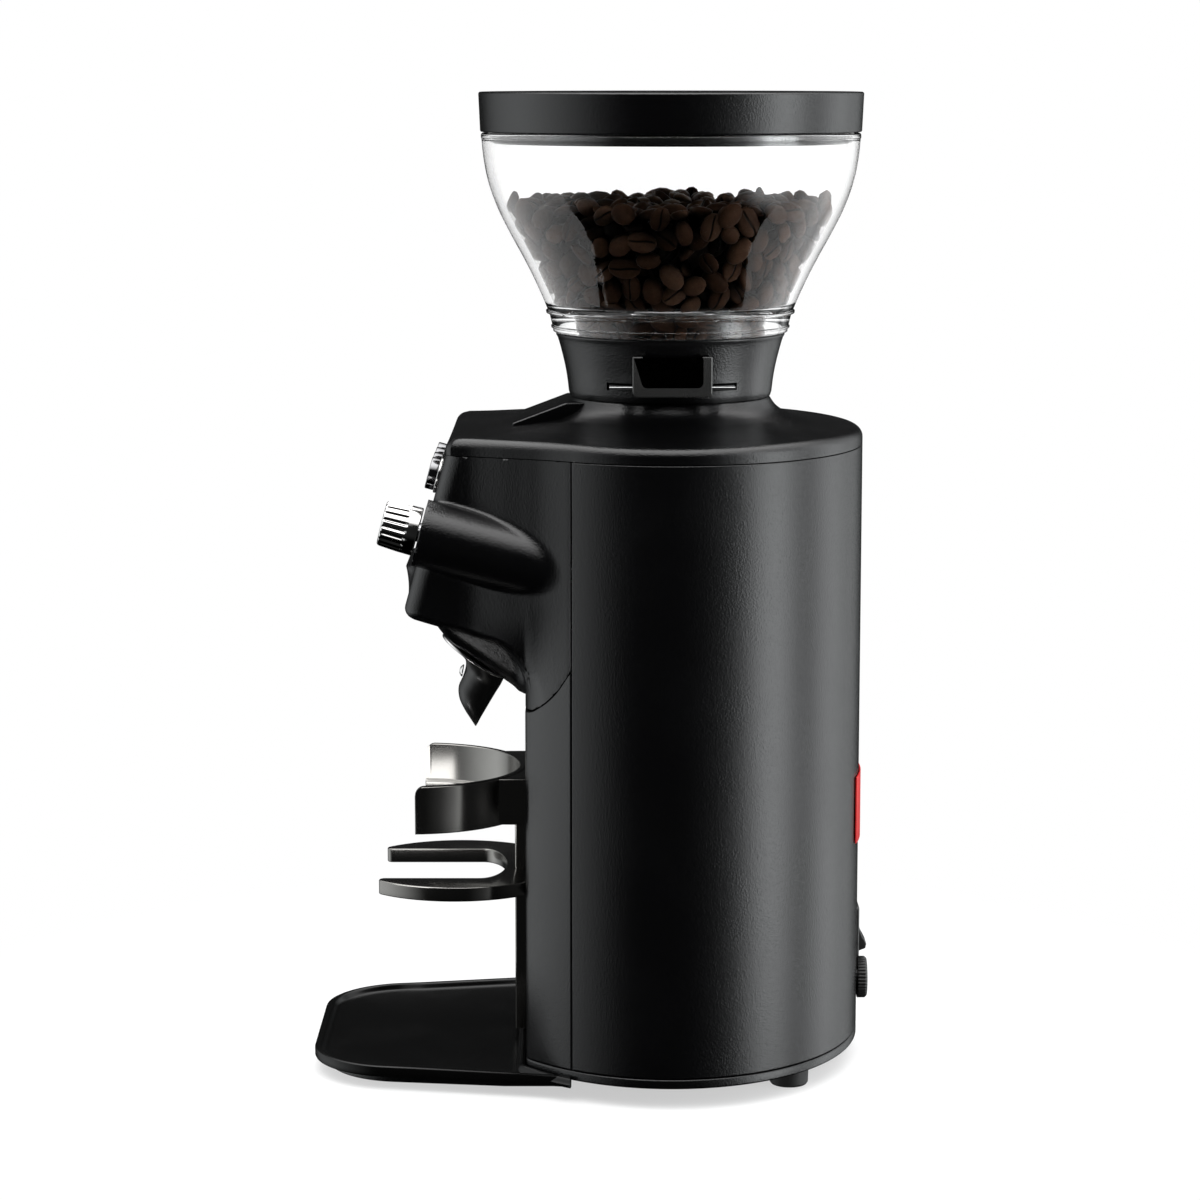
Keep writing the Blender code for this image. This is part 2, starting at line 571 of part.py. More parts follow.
def make_adjustment():
    """Toothed ring that lifts the upper burr, and the knob's spindle with its worm.
    The worm's lead angle equals the spindle's lean, so its threads stand upright
    where they meet the ring's straight teeth."""
    pitch = 2 * pi * RING_PITCH_R / RING_TEETH
    outline = []
    for tooth in range(RING_TEETH):
        middle = (tooth + 0.5) * 2 * pi / RING_TEETH
        root, tip = 1.6 * mm / RING_PITCH_R, 1.0 * mm / RING_PITCH_R
        for offset, radius in ((-root, 54.4 * mm), (-tip, 57 * mm), (tip, 57 * mm), (root, 54.4 * mm)):
            outline.append((radius * cos(middle + offset), radius * sin(middle + offset)))
    plate("adjusting_ring", [outline, circle(42 * mm, 28)], 202.5 * mm, 213.8 * mm, "satin_black")

    x, y, z = KNOB_AXIS
    to_worm = -y / sin(KNOB_TURN)
    lead = WORM_STARTS * pitch / cos(WORM_LEAD_ANGLE)
    core, height, half_length, around = 5.4 * mm, 2.6 * mm, 10 * mm, 16
    rings = []
    for along in np.linspace(-half_length, half_length, 29):
        angles = np.arange(around) * 2 * pi / around
        phase = WORM_STARTS * (angles + 2 * pi * along / lead)
        thread = np.clip((np.cos(phase) - 0.2) / 0.5, 0, 1) * (abs(along) < half_length - 0.1 * mm)
        radius = core + height * thread
        rings.append([(r * cos(a), r * sin(a), along) for r, a in zip(radius, angles)])
    worm = loft("knob_spindle", rings, "steel")
    worm.location = (x, 0, z - to_worm * cos(KNOB_TURN))
    worm.rotation_euler = (KNOB_TURN, 0, 0)
    reach = to_worm + 9 * mm
    spindle = rod("spindle_rod", 4 * mm, reach + 12 * mm, segments=20,
                  at=worm.location - worm.rotation_euler.to_matrix().col[2] * 15 * mm,
                  turn=(KNOB_TURN, 0, 0))
    combine(worm, spindle, "UNION")
    bush_r, bush_bore, bush_end = SPINDLE_BORE_R - GAP, 4.08 * mm, -12 * mm
    turned("knob_bush", [(bush_r, 0), (bush_r, bush_end), (bush_bore, bush_end), (bush_bore, 0)], "steel",
           (x, y, z), (KNOB_TURN, 0, 0), 24)


def make_knob():
    """Fluted grind knob with a plain collar, on the spindle's end."""
    flutes, per_flute, low, high = 16, 4, 0.8 * mm, 16 * mm

    def ring(z, radius, depth):
        angles = np.arange(flutes * per_flute) * 2 * pi / (flutes * per_flute)
        dip = np.clip((np.cos(angles * flutes) - 0.1) / 0.6, 0, 1)
        reach = radius - depth * dip
        return [(r * cos(a), r * sin(a), z) for r, a in zip(reach, angles)]

    rings = [ring(low, 10.1 * mm, 0), ring(4.6 * mm, 10.0 * mm, 0), ring(5.4 * mm, 9.9 * mm, 0.7 * mm),
             ring(14.8 * mm, 9.5 * mm, 0.7 * mm), ring(15.7 * mm, 9.1 * mm, 0.35 * mm),
             ring(high, 8.3 * mm, 0)]
    knob = loft("grind_knob", rings, "bright_chrome")
    knob.location, knob.rotation_euler = KNOB_AXIS, (KNOB_TURN, 0, 0)
    socket = rod("knob_socket", 4 * mm + GAP, 11 * mm, turn=(KNOB_TURN, 0, 0), segments=20)
    socket.location = KNOB_AXIS
    combine(knob, socket)


# ---- head fittings -----------------------------------------------------------------
def make_buttons():
    """Pill-shaped plate below the top seam with four round push buttons."""
    height = 254 * mm
    lean = (pi / 2 - TILT, 0, 0)
    face_y = head_front_y(height)
    spacing, radius = 19 * mm, 7.1 * mm
    half_length, half_height = 1.5 * spacing + radius + 1.2 * mm, 7.6 * mm
    bend = half_length - half_height
    quarter = np.linspace(-pi / 2, pi / 2, 9)
    pill = [(bend + half_height * cos(t), half_height * sin(t)) for t in quarter]
    pill += [(-x, y) for x, y in reversed(pill)]
    places = [(number - 1.5) * spacing for number in range(4)]
    holes = [circle(radius + 0.1 * mm, 20, (x, 0)) for x in places]
    mesh = flat_mesh("button_plate", [pill] + holes, 1.2 * mm)
    out = Matrix.Rotation(pi / 2 - TILT, 3, "X").col[2]
    foot = np.array((0, face_y, height)) + np.array(out) * GAP
    add("button_plate", mesh, "bright_chrome", foot, lean)
    for number, x in enumerate(places, 1):
        at = np.array((x, face_y, height)) + np.array(out) * 1.6 * mm
        rim = radius - 0.3 * mm
        turned(f"button_{number}", [(0, 3.4 * mm), (rim - 1.4 * mm, 3.4 * mm), (rim - 1.0 * mm, 3.7 * mm),
                                    (rim - 0.3 * mm, 3.6 * mm), (rim, 3.1 * mm), (rim, 0), (0, 0)],
               "satin_black", at, lean, 20, closed=False)


def make_spout():
    """Round flange under the head, and a chute that narrows to a pointed lip."""
    y, z = SPOUT_SEAT
    turned("spout_ring", [(16.3 * mm, -0.5 * mm), (16.3 * mm, -1.7 * mm), (9.5 * mm, -1.7 * mm),
                          (9.5 * mm, -0.5 * mm)], "bright_chrome", (0, y, z), (-SPOUT_SLOPE, 0, 0), 28)

    stations = [((-96.0, 180.2), (-70.8, 162.6), 15.0), ((-91.2, 175.0), (-71.6, 161.4), 12.2),
                ((-88.0, 169.6), (-73.9, 158.0), 10.0), ((-88.6, 163.5), (-75.6, 154.6), 9.2),
                ((-90.4, 158.0), (-77.6, 151.0), 8.6), ((-90.2, 153.0), (-79.4, 147.6), 7.6),
                ((-86.2, 146.6), (-81.6, 144.0), 5.0), ((-83.6, 142.4), (-82.9, 141.7), 1.6)]

    def section(front, rear, half_width, scale=1.0, count=16):
        front, rear = np.array(front) * mm, np.array(rear) * mm
        middle, half = (front + rear) / 2, (rear - front) / 2 * scale
        ring = []
        for angle in np.arange(count) * 2 * pi / count:
            y_z = middle + half * cos(angle)
            ring.append((half_width * mm * scale * sin(angle), y_z[0], y_z[1]))
        return ring

    chute = loft("spout", [section(*s) for s in stations], "satin_black")
    inlet, outlet = ((-93.6, 184.8), (-75.0, 171.8), 9.0), ((-97.5, 141.5), (-86.0, 137.0), 8.0)
    mouth = [inlet] + stations[1:6] + [outlet]
    combine(chute, loft("spout_bore", [section(*s, scale=0.78) for s in mouth]))
    dome = rod("spout_stud", 2.6 * mm, 1.6 * mm, "bright_chrome", end_radius=1.6 * mm, segments=20)
    dome.location, dome.rotation_euler = (0, -88.6 * mm, 166.2 * mm), (radians(80), 0, 0)


def make_holder():
    """Rail on the column, the fixed cradle above it and the sliding fork."""
    box("rail", (-RAIL_HALF_WIDTH, RAIL_FRONT_Y, RAIL_LOW),
        (RAIL_HALF_WIDTH, COLUMN_FRONT_Y - GAP, RAIL_HIGH), "dark_chrome")

    centre_y = COLUMN_FRONT_Y - 0.6 * mm - CRADLE_R
    front_y = -107.3 * mm
    start = asin((front_y - centre_y) / CRADLE_R)
    arc = np.linspace(start, pi - start, 33)
    inner_r = CRADLE_R - CRADLE_WALL
    band = [(CRADLE_R * cos(t), centre_y + CRADLE_R * sin(t)) for t in arc]
    band += [(inner_r * cos(t), centre_y + inner_r * sin(t)) for t in reversed(arc)]
    cradle = plate("portafilter_cradle", [band], CRADLE_LOW, CRADLE_HIGH, "dark_chrome")
    back = box("cradle_back", (-31 * mm, -74.5 * mm, CRADLE_LOW + 0.4 * mm),
               (31 * mm, COLUMN_FRONT_Y - GAP, CRADLE_HIGH - 0.4 * mm))
    combine(back, rod("cradle_bore", inner_r + 1 * mm, 40 * mm, at=(0, centre_y, 95 * mm), segments=64))
    combine(cradle, back, "UNION")

    fork_y, tip_y, slot = -91.1 * mm, -123.8 * mm, 27.3 * mm
    rear_y, bend_y, apex_y = COLUMN_FRONT_Y - 0.5 * mm, -81.2 * mm, -70.2 * mm
    low_angle, high_angle = asin((tip_y - fork_y) / FORK_R), asin((rear_y - fork_y) / FORK_R)
    side = [(FORK_R * cos(t), fork_y + FORK_R * sin(t)) for t in np.linspace(low_angle, high_angle, 16)]
    clear = RAIL_HALF_WIDTH + GAP
    half = [(0, apex_y)] + [(slot * sin(t), bend_y + (apex_y - bend_y) * cos(t))
                            for t in np.linspace(0.2, pi / 2, 8)]
    half += [(slot, tip_y)] + side + [(clear, rear_y), (clear, RAIL_FRONT_Y - GAP)]
    outline = half + [(-x, y) for x, y in reversed(half[1:])]
    plate("portafilter_fork", [outline], FORK_LOW, FORK_LOW + FORK_THICK, "dark_chrome")


def make_tray():
    """Dished tray whose wings run back along the column to the upright seam."""
    seam_x = oval(asin(SEAM_Y / HALF_DEPTH))[0]

    def outline(inset, seam_y):
        right = rounded([(seam_x - inset, seam_y, 0), (68.5 * mm - inset, -110 * mm, 0),
                         (61.5 * mm, TRAY_FRONT_Y + inset, 37 * mm - inset), (0, TRAY_FRONT_Y + inset, 0)],
                        steps=9)[:-1]
        return mirrored(right)

    rim = outline(0, SEAM_Y - GAP)
    tray = plate("drip_tray", [rim], TRAY_LOW, TRAY_HIGH, "satin_black")
    notch = opened_back(inset_path(column_path(seam_y=SEAM_Y), -0.4 * mm), -20 * mm)
    combine(tray, plate("column_notch", [notch], 0, 20 * mm))
    dish = outline(4.2 * mm, -66 * mm)
    combine(tray, plate("tray_dish", [dish], 7.4 * mm, 20 * mm))


# ---- hopper ---------------------------------------------------------------------------
BOWL_OUTSIDE = [(79.8, 395.6), (78.6, 384.2), (76.5, 374.3), (72.8, 364.1), (67.8, 354.0), (62.3, 343.9),
                (57.2, 333.8), (52.7, 323.6), (50.2, 316.5), (49.6, COLLAR_TOP / mm + 0.3)]


def make_hopper():
    """Glass bowl on a flared collar with a shutter slot, its beans and its lid."""
    outside = [(r * mm, z * mm) for r, z in BOWL_OUTSIDE]
    inside = [(r - BOWL_WALL, z) for r, z in reversed(outside)]
    turned("hopper_bowl", outside + inside, "clear_glass", segments=48)

    collar = turned("hopper_collar", [(48.6 * mm, COLLAR_TOP), (47.2 * mm, 308.4 * mm),
                                      (45.0 * mm, 299.9 * mm), (43.8 * mm, 293.6 * mm),
                                      (43.0 * mm, 287.2 * mm),
                                      (NECK_R, NECK_TOP + GAP), (36.8 * mm, NECK_TOP + GAP),
                                      (36.8 * mm, 276 * mm), (THROAT_R, 276 * mm), (THROAT_R, 297 * mm),
                                      (44 * mm, COLLAR_TOP)], "textured_black", segments=44)
    slot_low, slot_high, slot_half = SHUTTER_Z - 1.6 * mm, SHUTTER_Z + 1.6 * mm, 27 * mm
    combine(collar, box("shutter_slot", (-29 * mm, -slot_half, slot_low), (60 * mm, slot_half, slot_high)))

    tip = [(-1.5 * mm + 26 * mm * cos(t), 26 * mm * sin(t)) for t in np.linspace(pi / 2, 3 * pi / 2, 17)]
    plate("shutter_plate", [[(44.6 * mm, 26 * mm)] + tip + [(44.6 * mm, -26 * mm)]],
          SHUTTER_Z - 0.8 * mm, SHUTTER_Z + 0.8 * mm, "steel")
    low, high, half, arm = 288.4 * mm, 305.2 * mm, 16.4 * mm, 4.2 * mm
    frame = rounded([(half, high, 0.8 * mm), (half, low, 2 * mm),
                     (-half, low, 2 * mm), (-half, high, 0.8 * mm),
                     (-half + arm, high, 0.8 * mm), (-half + arm, low + 4.5 * mm, 1.5 * mm),
                     (half - arm, low + 4.5 * mm, 1.5 * mm), (half - arm, high, 0.8 * mm)], steps=3)
    add("shutter_handle", flat_mesh("shutter_handle", [frame], 2.6 * mm), "satin_black",
        (45.0 * mm, 0, 0), (pi / 2, 0, pi / 2))

    turned("bean_fill", [(0, 367 * mm), (60 * mm, 364.6 * mm), (68.6 * mm, 362.5 * mm),
                         (64.0 * mm, 354 * mm), (58.5 * mm, 343.9 * mm), (53.4 * mm, 333.8 * mm),
                         (48.9 * mm, 323.6 * mm),
                         (43.0 * mm, 313 * mm), (23.4 * mm, 297.6 * mm), (23.4 * mm, SHUTTER_Z + 2.6 * mm),
                         (0, SHUTTER_Z + 2.6 * mm)], "roasted_beans", segments=32, closed=False)

    turned("hopper_lid", [(0, LID_HIGH), (LID_R - 0.8 * mm, LID_HIGH), (LID_R, LID_HIGH - 0.8 * mm),
                          (80.1 * mm, LID_LOW), (74.6 * mm, LID_LOW), (74.6 * mm, 391.4 * mm),
                          (72.2 * mm, 391.4 * mm), (72.2 * mm, LID_HIGH - 3 * mm), (0, LID_HIGH - 3 * mm)],
           "textured_black", segments=56, closed=False)
    turned("lid_seal", [(76.0 * mm, 394.6 * mm), (76.0 * mm, 392.2 * mm), (74.9 * mm, 392.2 * mm),
                        (74.9 * mm, 394.6 * mm)], "black_rubber", segments=48)


# ---- rear and electrical fittings ------------------------------------------------------
def make_rear_fittings():
    """Rocker switch, cable gland and a plain label on the back of the shell."""
    frame = box("switch_frame", (-8.3 * mm, 66 * mm, 41.3 * mm), (8.3 * mm, 82.5 * mm, 63.7 * mm),
                "satin_black")
    combine(frame, box("switch_cavity", (-6.7 * mm, 68 * mm, 42.8 * mm), (6.7 * mm, 95 * mm, 62.2 * mm)))
    outline = [(81.5, 43.4), (85.3, 44.9), (85.8, 46.6), (82.8, 52.6), (82.6, 61.3), (80.4, 61.8),
               (76, 55), (76, 49)]
    middle = 79.5
    paddle = [((y - middle) * mm, (z - SWITCH_Z / mm) * mm) for y, z in outline]
    rocker = side_plate("rocker_paddle", paddle, 6.3 * mm, "satin_black")
    rocker.location = (-6.3 * mm, middle * mm, SWITCH_Z)

    thread_r, cable_r = 6.2 * mm, 3.6 * mm
    back = (-pi / 2, 0, 0)
    turned("gland_body", [(thread_r, 86 * mm), (thread_r, 74 * mm), (cable_r, 74 * mm), (cable_r, 86 * mm)],
           "satin_black", (0, 0, GLAND_Z), back, 24)
    turned("gland_nut", [(8.2 * mm, GLAND_REAR_Y), (9.05 * mm, GLAND_REAR_Y - 0.7 * mm),
                         (9.05 * mm, 82.2 * mm), (thread_r + GAP, 82.2 * mm),
                         (thread_r + GAP, GLAND_REAR_Y)], "satin_black",
           (0, 0, GLAND_Z), back, 24)
    turned("gland_locknut", [(9.6 * mm, 78.6 * mm), (9.6 * mm, 75 * mm), (7.4 * mm, 75 * mm),
                             (7.4 * mm, 78.6 * mm)], "satin_black", (0, 0, GLAND_Z), back, 6)

    reach = asin(26 * mm / HALF_WIDTH)
    arc = np.linspace(pi / 2 - reach, pi / 2 + reach, 13)
    label = [oval(t, -1.0 * mm) for t in arc] + [oval(t, -0.3 * mm) for t in reversed(arc)]
    plate("rating_label", [label], 96 * mm, 124.7 * mm, "red_label")


def make_electrics():
    """Power board and run capacitor in the foot, control board behind the buttons."""
    box("power_board", (-38 * mm, -20 * mm, 20 * mm), (38 * mm, 38 * mm, 21.6 * mm), "circuit_green")
    rod("run_capacitor", 14 * mm, 36 * mm, "aluminium", (-22 * mm, -2 * mm, 22 * mm), segments=28)
    box("mains_transformer", (4 * mm, -14 * mm, 22 * mm), (32 * mm, 12 * mm, 44 * mm), "motor_iron")
    box("control_board", (-36 * mm, -89.2 * mm, 246 * mm), (36 * mm, -87.6 * mm, 262 * mm), "circuit_green",
        (-TILT, 0, 0))


for make in (make_base, make_rear_shell, make_column_panel, make_head_cover, make_top_cover, make_motor,
             make_burrs, make_adjustment, make_knob, make_buttons, make_spout, make_holder, make_tray,
             make_hopper, make_rear_fittings, make_electrics):
    make()
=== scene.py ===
# %% [markdown]
# # A burr coffee grinder, finished for looks
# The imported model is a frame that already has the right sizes, places and joints. This lesson
# dresses it: it gives every piece its real surface and finish, and leaves the frame alone.
# Each new piece is a surface worked out with numpy. Each one rides on the body it moves with.

# %% Load the frame
import json
from math import asin, atan2, cos, pi, radians, sin, tan

import bmesh
import bpy
import numpy as np
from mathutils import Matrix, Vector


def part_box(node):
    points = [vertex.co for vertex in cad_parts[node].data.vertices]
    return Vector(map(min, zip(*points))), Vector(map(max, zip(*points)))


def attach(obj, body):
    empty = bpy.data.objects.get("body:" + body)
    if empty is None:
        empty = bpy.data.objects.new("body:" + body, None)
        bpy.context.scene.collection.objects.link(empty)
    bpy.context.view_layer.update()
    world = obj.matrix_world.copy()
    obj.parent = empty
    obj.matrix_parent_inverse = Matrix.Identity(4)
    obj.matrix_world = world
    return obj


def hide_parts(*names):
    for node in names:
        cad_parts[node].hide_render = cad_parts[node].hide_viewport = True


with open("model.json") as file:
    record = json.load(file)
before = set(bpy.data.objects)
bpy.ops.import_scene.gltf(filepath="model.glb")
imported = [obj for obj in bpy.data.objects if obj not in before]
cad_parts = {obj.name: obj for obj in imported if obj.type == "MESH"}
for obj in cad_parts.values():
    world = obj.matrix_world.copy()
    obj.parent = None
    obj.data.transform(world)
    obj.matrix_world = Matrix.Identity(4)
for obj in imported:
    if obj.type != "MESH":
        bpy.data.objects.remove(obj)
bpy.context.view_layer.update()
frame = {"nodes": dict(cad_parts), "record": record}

mm = 0.001
nodes = frame["nodes"]


# %% [markdown]
# ## Where things are
# Everything round in the grinder turns about one upright axis, through the burrs and the
# hopper. All outlines below are written about that axis, in millimetres, because a maker's
# drawing would be. One helper turns them into metres and moves them to their place.

# %% Read the driving sizes from the frame
def span(node):
    """Lowest and highest corner of a frame node, in millimetres about the burr axis."""
    low, high = (np.array(corner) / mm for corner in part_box(node))
    return low - AXIS, high - AXIS


AXIS = np.zeros(3)
bowl_low, bowl_high = span("hopper_bowl")
AXIS = np.array((0.0, (bowl_low[1] + bowl_high[1]) / 2, 0.0))

shell_low, shell_high = span("rear_shell")
HALF_WIDTH, HALF_DEPTH, SEAM_Y = shell_high[0], shell_high[1], shell_low[1]
column_low, column_high = span("column_panel")
COLUMN_FRONT_Y = column_low[1]
WALL, GAP = 2.5, 0.3
print(f"oval housing {2 * HALF_WIDTH:.1f} x {2 * HALF_DEPTH:.1f} mm, seam at y {SEAM_Y:.1f}")


# %% [markdown]
# ## Tools for surfaces
# A surface here is an array of points in rows and columns, and its faces join neighbours.
# Ends that meet at one point are welded, so poles and seams are closed. The enclosed volume
# tells which way the faces look: a negative volume means inside out, and they are turned.

# %% Points and faces to a finished piece
def grid_faces(rows, columns, close_rows=False, close_columns=True):
    """Quads between neighbouring points of a grid; a closed direction joins back to its start."""
    row = np.arange(rows if close_rows else rows - 1)
    column = np.arange(columns if close_columns else columns - 1)
    row, column = np.meshgrid(row, column, indexing="ij")
    next_row, next_column = (row + 1) % rows, (column + 1) % columns
    corners = [row * columns + column, row * columns + next_column,
               next_row * columns + next_column, next_row * columns + column]
    return np.stack(corners, -1).reshape(-1, 4)


def ngon(start, count):
    """One face over a whole row of points, as an array of a single face."""
    return np.arange(start, start + count)[None, :]


def closed_tube(rows, columns):
    """Faces of a grid whose rows are closed rings, with a flat face over each end."""
    return [grid_faces(rows, columns), ngon(0, columns)[:, ::-1], ngon((rows - 1) * columns, columns)]


def volume(points, faces):
    """Signed volume: the sum of the tetrahedra from the origin to each fan triangle."""
    total = 0.0
    for group in faces:
        a = points[group[:, 0]]
        for k in range(1, group.shape[1] - 1):
            total += (a * np.cross(points[group[:, k]], points[group[:, k + 1]])).sum() / 6
    return total


def make_mesh(name, points, faces, sharp_degrees=32, welded=True):
    """A mesh from points in millimetres about the burr axis and a list of face arrays."""
    points = np.asarray(points, float).reshape(-1, 3)
    faces = [np.asarray(group) for group in faces]
    if volume(points, faces) < 0:
        faces = [group[:, ::-1] for group in faces]
    corners = np.concatenate([group.ravel() for group in faces])
    counts = np.concatenate([np.full(len(group), group.shape[1]) for group in faces])
    mesh = bpy.data.meshes.new(name)
    mesh.vertices.add(len(points))
    mesh.vertices.foreach_set("co", ((points + AXIS) * mm).ravel())
    mesh.loops.add(len(corners))
    mesh.loops.foreach_set("vertex_index", corners)
    mesh.polygons.add(len(counts))
    mesh.polygons.foreach_set("loop_start", np.concatenate([[0], np.cumsum(counts)[:-1]]))
    mesh.update(calc_edges=True)
    if welded:
        weld(mesh)
    mesh.shade_smooth()
    mesh.set_sharp_from_angle(angle=radians(sharp_degrees))
    return mesh


def weld(mesh, distance=2e-6):
    """Join points that lie on each other, and drop faces that have no area left."""
    form = bmesh.new()
    form.from_mesh(mesh)
    bmesh.ops.remove_doubles(form, verts=form.verts, dist=distance)
    bmesh.ops.dissolve_degenerate(form, edges=form.edges, dist=distance / 4)
    form.to_mesh(mesh)
    form.free()


def place(name, mesh, body, material, replaces=()):
    """Show a mesh as a piece of a body, in the place of frame nodes."""
    piece = bpy.data.objects.new(name, mesh)
    bpy.context.scene.collection.objects.link(piece)
    mesh.materials.clear()
    mesh.materials.append(material)
    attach(piece, body)
    if replaces:
        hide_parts(*replaces)
    print(f"{name}: {len(mesh.polygons)} faces on {body}")
    return piece


# %% [markdown]
# ## Tools for outlines
# Corners are drawn with a radius, as on a real drawing. A turned piece is a profile carried
# round the axis, a moulding is a wall section carried along a path, and a cut plate is an
# outline whose edge is rolled over by a small quarter circle.

# %% Outlines, profiles and paths
def rounded(corners, closed=True, steps=6):
    """Corners (x, y, radius) as points: each radius is an arc that touches both its sides."""
    corners = [np.array(corner, float) for corner in corners]
    outline = []
    for i, corner in enumerate(corners):
        here, radius = corner[:2], corner[2]
        if radius == 0 or (not closed and i in (0, len(corners) - 1)):
            outline.append(here[None])
            continue
        before = corners[i - 1][:2] - here
        after = corners[(i + 1) % len(corners)][:2] - here
        before, after = before / np.linalg.norm(before), after / np.linalg.norm(after)
        half = np.arccos(np.clip(before @ after, -1, 1)) / 2
        middle = here + (before + after) / np.linalg.norm(before + after) * radius / sin(half)
        start, end = here + before * radius / tan(half), here + after * radius / tan(half)
        sweep = pi - 2 * half
        share = np.linspace(0, 1, steps + 1)[:, None]
        arm = np.sin((1 - share) * sweep) * (start - middle) + np.sin(share * sweep) * (end - middle)
        outline.append(middle + arm / sin(sweep))
    return np.concatenate(outline)


def spread(path, count, closed=False):
    """The same path with points at even distances along it."""
    path = np.vstack([path, path[:1]]) if closed else np.asarray(path)
    along = np.concatenate([[0], np.cumsum(np.linalg.norm(np.diff(path, axis=0), axis=1))])
    wanted = np.linspace(0, along[-1], count + 1)[:-1] if closed else np.linspace(0, along[-1], count)
    return np.stack([np.interp(wanted, along, path[:, k]) for k in range(path.shape[1])], 1)


def smooth_curve(points, count):
    """A smooth curve through the points: a cubic between each two, whose slope at a point is
    that of the line between its neighbours."""
    points = np.asarray(points, float)
    ends = np.vstack([2 * points[0] - points[1], points, 2 * points[-1] - points[-2]])
    at = np.linspace(0, len(points) - 1 - 1e-9, count)
    i, t = at.astype(int), (at % 1)[:, None]
    a, b, c, d = ends[i], ends[i + 1], ends[i + 2], ends[i + 3]
    return b + t / 2 * (c - a + t * (2 * a - 5 * b + 4 * c - d + t * (3 * (b - c) + d - a)))


def around_axis(radius, heights, segments):
    """Points round Z: x = r cos a, y = r sin a. The radius may change with the angle too."""
    angle = np.arange(segments) * 2 * pi / segments
    return np.stack([radius * np.cos(angle), radius * np.sin(angle), np.repeat(heights, segments, 1)], -1)


def turned_points(profile, segments):
    """The points of a profile (radius, z) carried round the axis."""
    profile = np.asarray(profile, float)
    return around_axis(profile[:, :1], profile[:, 1:], segments)


def turned(name, profile, segments=160, closed=True):
    """A turned piece; its profile is a closed line, or ends on the axis at both ends."""
    faces = grid_faces(len(profile), segments, close_rows=closed)
    return make_mesh(name, turned_points(profile, segments), [faces])


def inward(outline):
    """Unit vectors that point into a closed outline drawn anticlockwise."""
    along = np.roll(outline, -1, 0) - np.roll(outline, 1, 0)
    along /= np.linalg.norm(along, axis=1)[:, None]
    return np.stack([-along[:, 1], along[:, 0]], 1)


def rolled_edges(outline, low, high, radius, steps=4):
    """Rings of a plate between two heights whose edges are rolled over: ring k lies inside the
    outline by r(1 - cos t) and above the edge by r sin t, for t from a quarter turn to 0."""
    t = np.linspace(pi / 2, 0, steps + 1)
    inset = np.concatenate([radius * (1 - np.cos(t)), radius * (1 - np.cos(t[::-1]))])
    height = np.concatenate([low + radius * (1 - np.sin(t)), high - radius * (1 - np.sin(t[::-1]))])
    flat = outline + inward(outline) * inset[:, None, None]
    return np.concatenate([flat, np.broadcast_to(height[:, None, None], (*flat.shape[:2], 1))], -1)


def cut_plate(name, outline, low, high, radius=0.5, shape=None, sharp_degrees=40):
    """A plate with rolled edges; shape may turn its (x, y, z) points to where they belong."""
    rings = rolled_edges(np.asarray(outline, float), low, high, radius)
    points = rings.reshape(-1, 3)
    points = points if shape is None else shape(points)
    return make_mesh(name, points, closed_tube(*rings.shape[:2]), sharp_degrees)


def anticlockwise(outline):
    """The outline in the direction whose enclosed area counts as positive."""
    outline = np.asarray(outline, float)
    x, y = outline.T
    return outline if (x * np.roll(y, -1) - y * np.roll(x, -1)).sum() > 0 else outline[::-1]


def boolean(mesh, tool, operation="DIFFERENCE", sharp_degrees=32):
    """The mesh with a tool mesh cut from it or joined to it."""
    target, other = (bpy.data.objects.new(m.name, m) for m in (mesh, tool))
    for thing in (target, other):
        bpy.context.scene.collection.objects.link(thing)
    step = target.modifiers.new("cut", "BOOLEAN")
    step.operation, step.object, step.solver = operation, other, "EXACT"
    bpy.context.view_layer.update()
    shown = target.evaluated_get(bpy.context.evaluated_depsgraph_get())
    made = bpy.data.meshes.new_from_object(shown)
    made.name = mesh.name
    for thing in (target, other):
        bpy.data.objects.remove(thing)
    made.shade_smooth()
    made.set_sharp_from_angle(angle=radians(sharp_degrees))
    return made


# %% [markdown]
# ## Camera
# The grinder is seen from its right-hand side, from a little above and a good way off, so the
# lens is long. A long lens keeps upright edges nearly parallel, as in a catalogue picture.

# %% Make the camera
camera_data = bpy.data.cameras.new("camera")
camera_data.sensor_width = 36
camera_data.lens = 102.555
camera = bpy.data.objects.new("camera", camera_data)
camera.location = (1.449, 0.00292, 0.42185)
camera.rotation_euler = (radians(81.175), 0, radians(90))
bpy.context.scene.collection.objects.link(camera)
bpy.context.scene.camera = camera
print("camera", tuple(round(v, 3) for v in camera.location))


# %% [markdown]
# ## Studio
# Black plastic shows only what it reflects, so the light is made for its reflections: tall soft
# panels stand round the grinder with dark gaps between them, and one soft panel hangs above.
# The backdrop is plain white. The world's colour depends on the direction alone: one ramp
# runs round the horizon, and one runs from straight down to straight up.

# %% Light panels as a world
def ramp(tree, stops, interpolation="B_SPLINE"):
    """A Color Ramp node with (position, brightness or colour) stops."""
    node = tree.nodes.new("ShaderNodeValToRGB")
    node.color_ramp.interpolation = interpolation
    elements = node.color_ramp.elements
    while len(elements) < len(stops):
        elements.new(0.5)
    for element, (position, colour) in zip(elements, stops):
        element.position = position
        colour = (colour,) * 3 if np.isscalar(colour) else colour
        element.color = (*colour, 1)
    return node


def math_node(tree, operation, first, second=None, third=None):
    """A Math node fed by sockets or plain numbers, and its result."""
    node = tree.nodes.new("ShaderNodeMath")
    node.operation = operation
    for socket, value in zip(node.inputs, (first, second, third)):
        if value is None:
            continue
        if hasattr(value, "is_output"):
            tree.links.new(value, socket)
        else:
            socket.default_value = value
    return node.outputs[0]


PANEL_LIGHT = 5.0     # brightness of a full panel, where the backdrop is 1
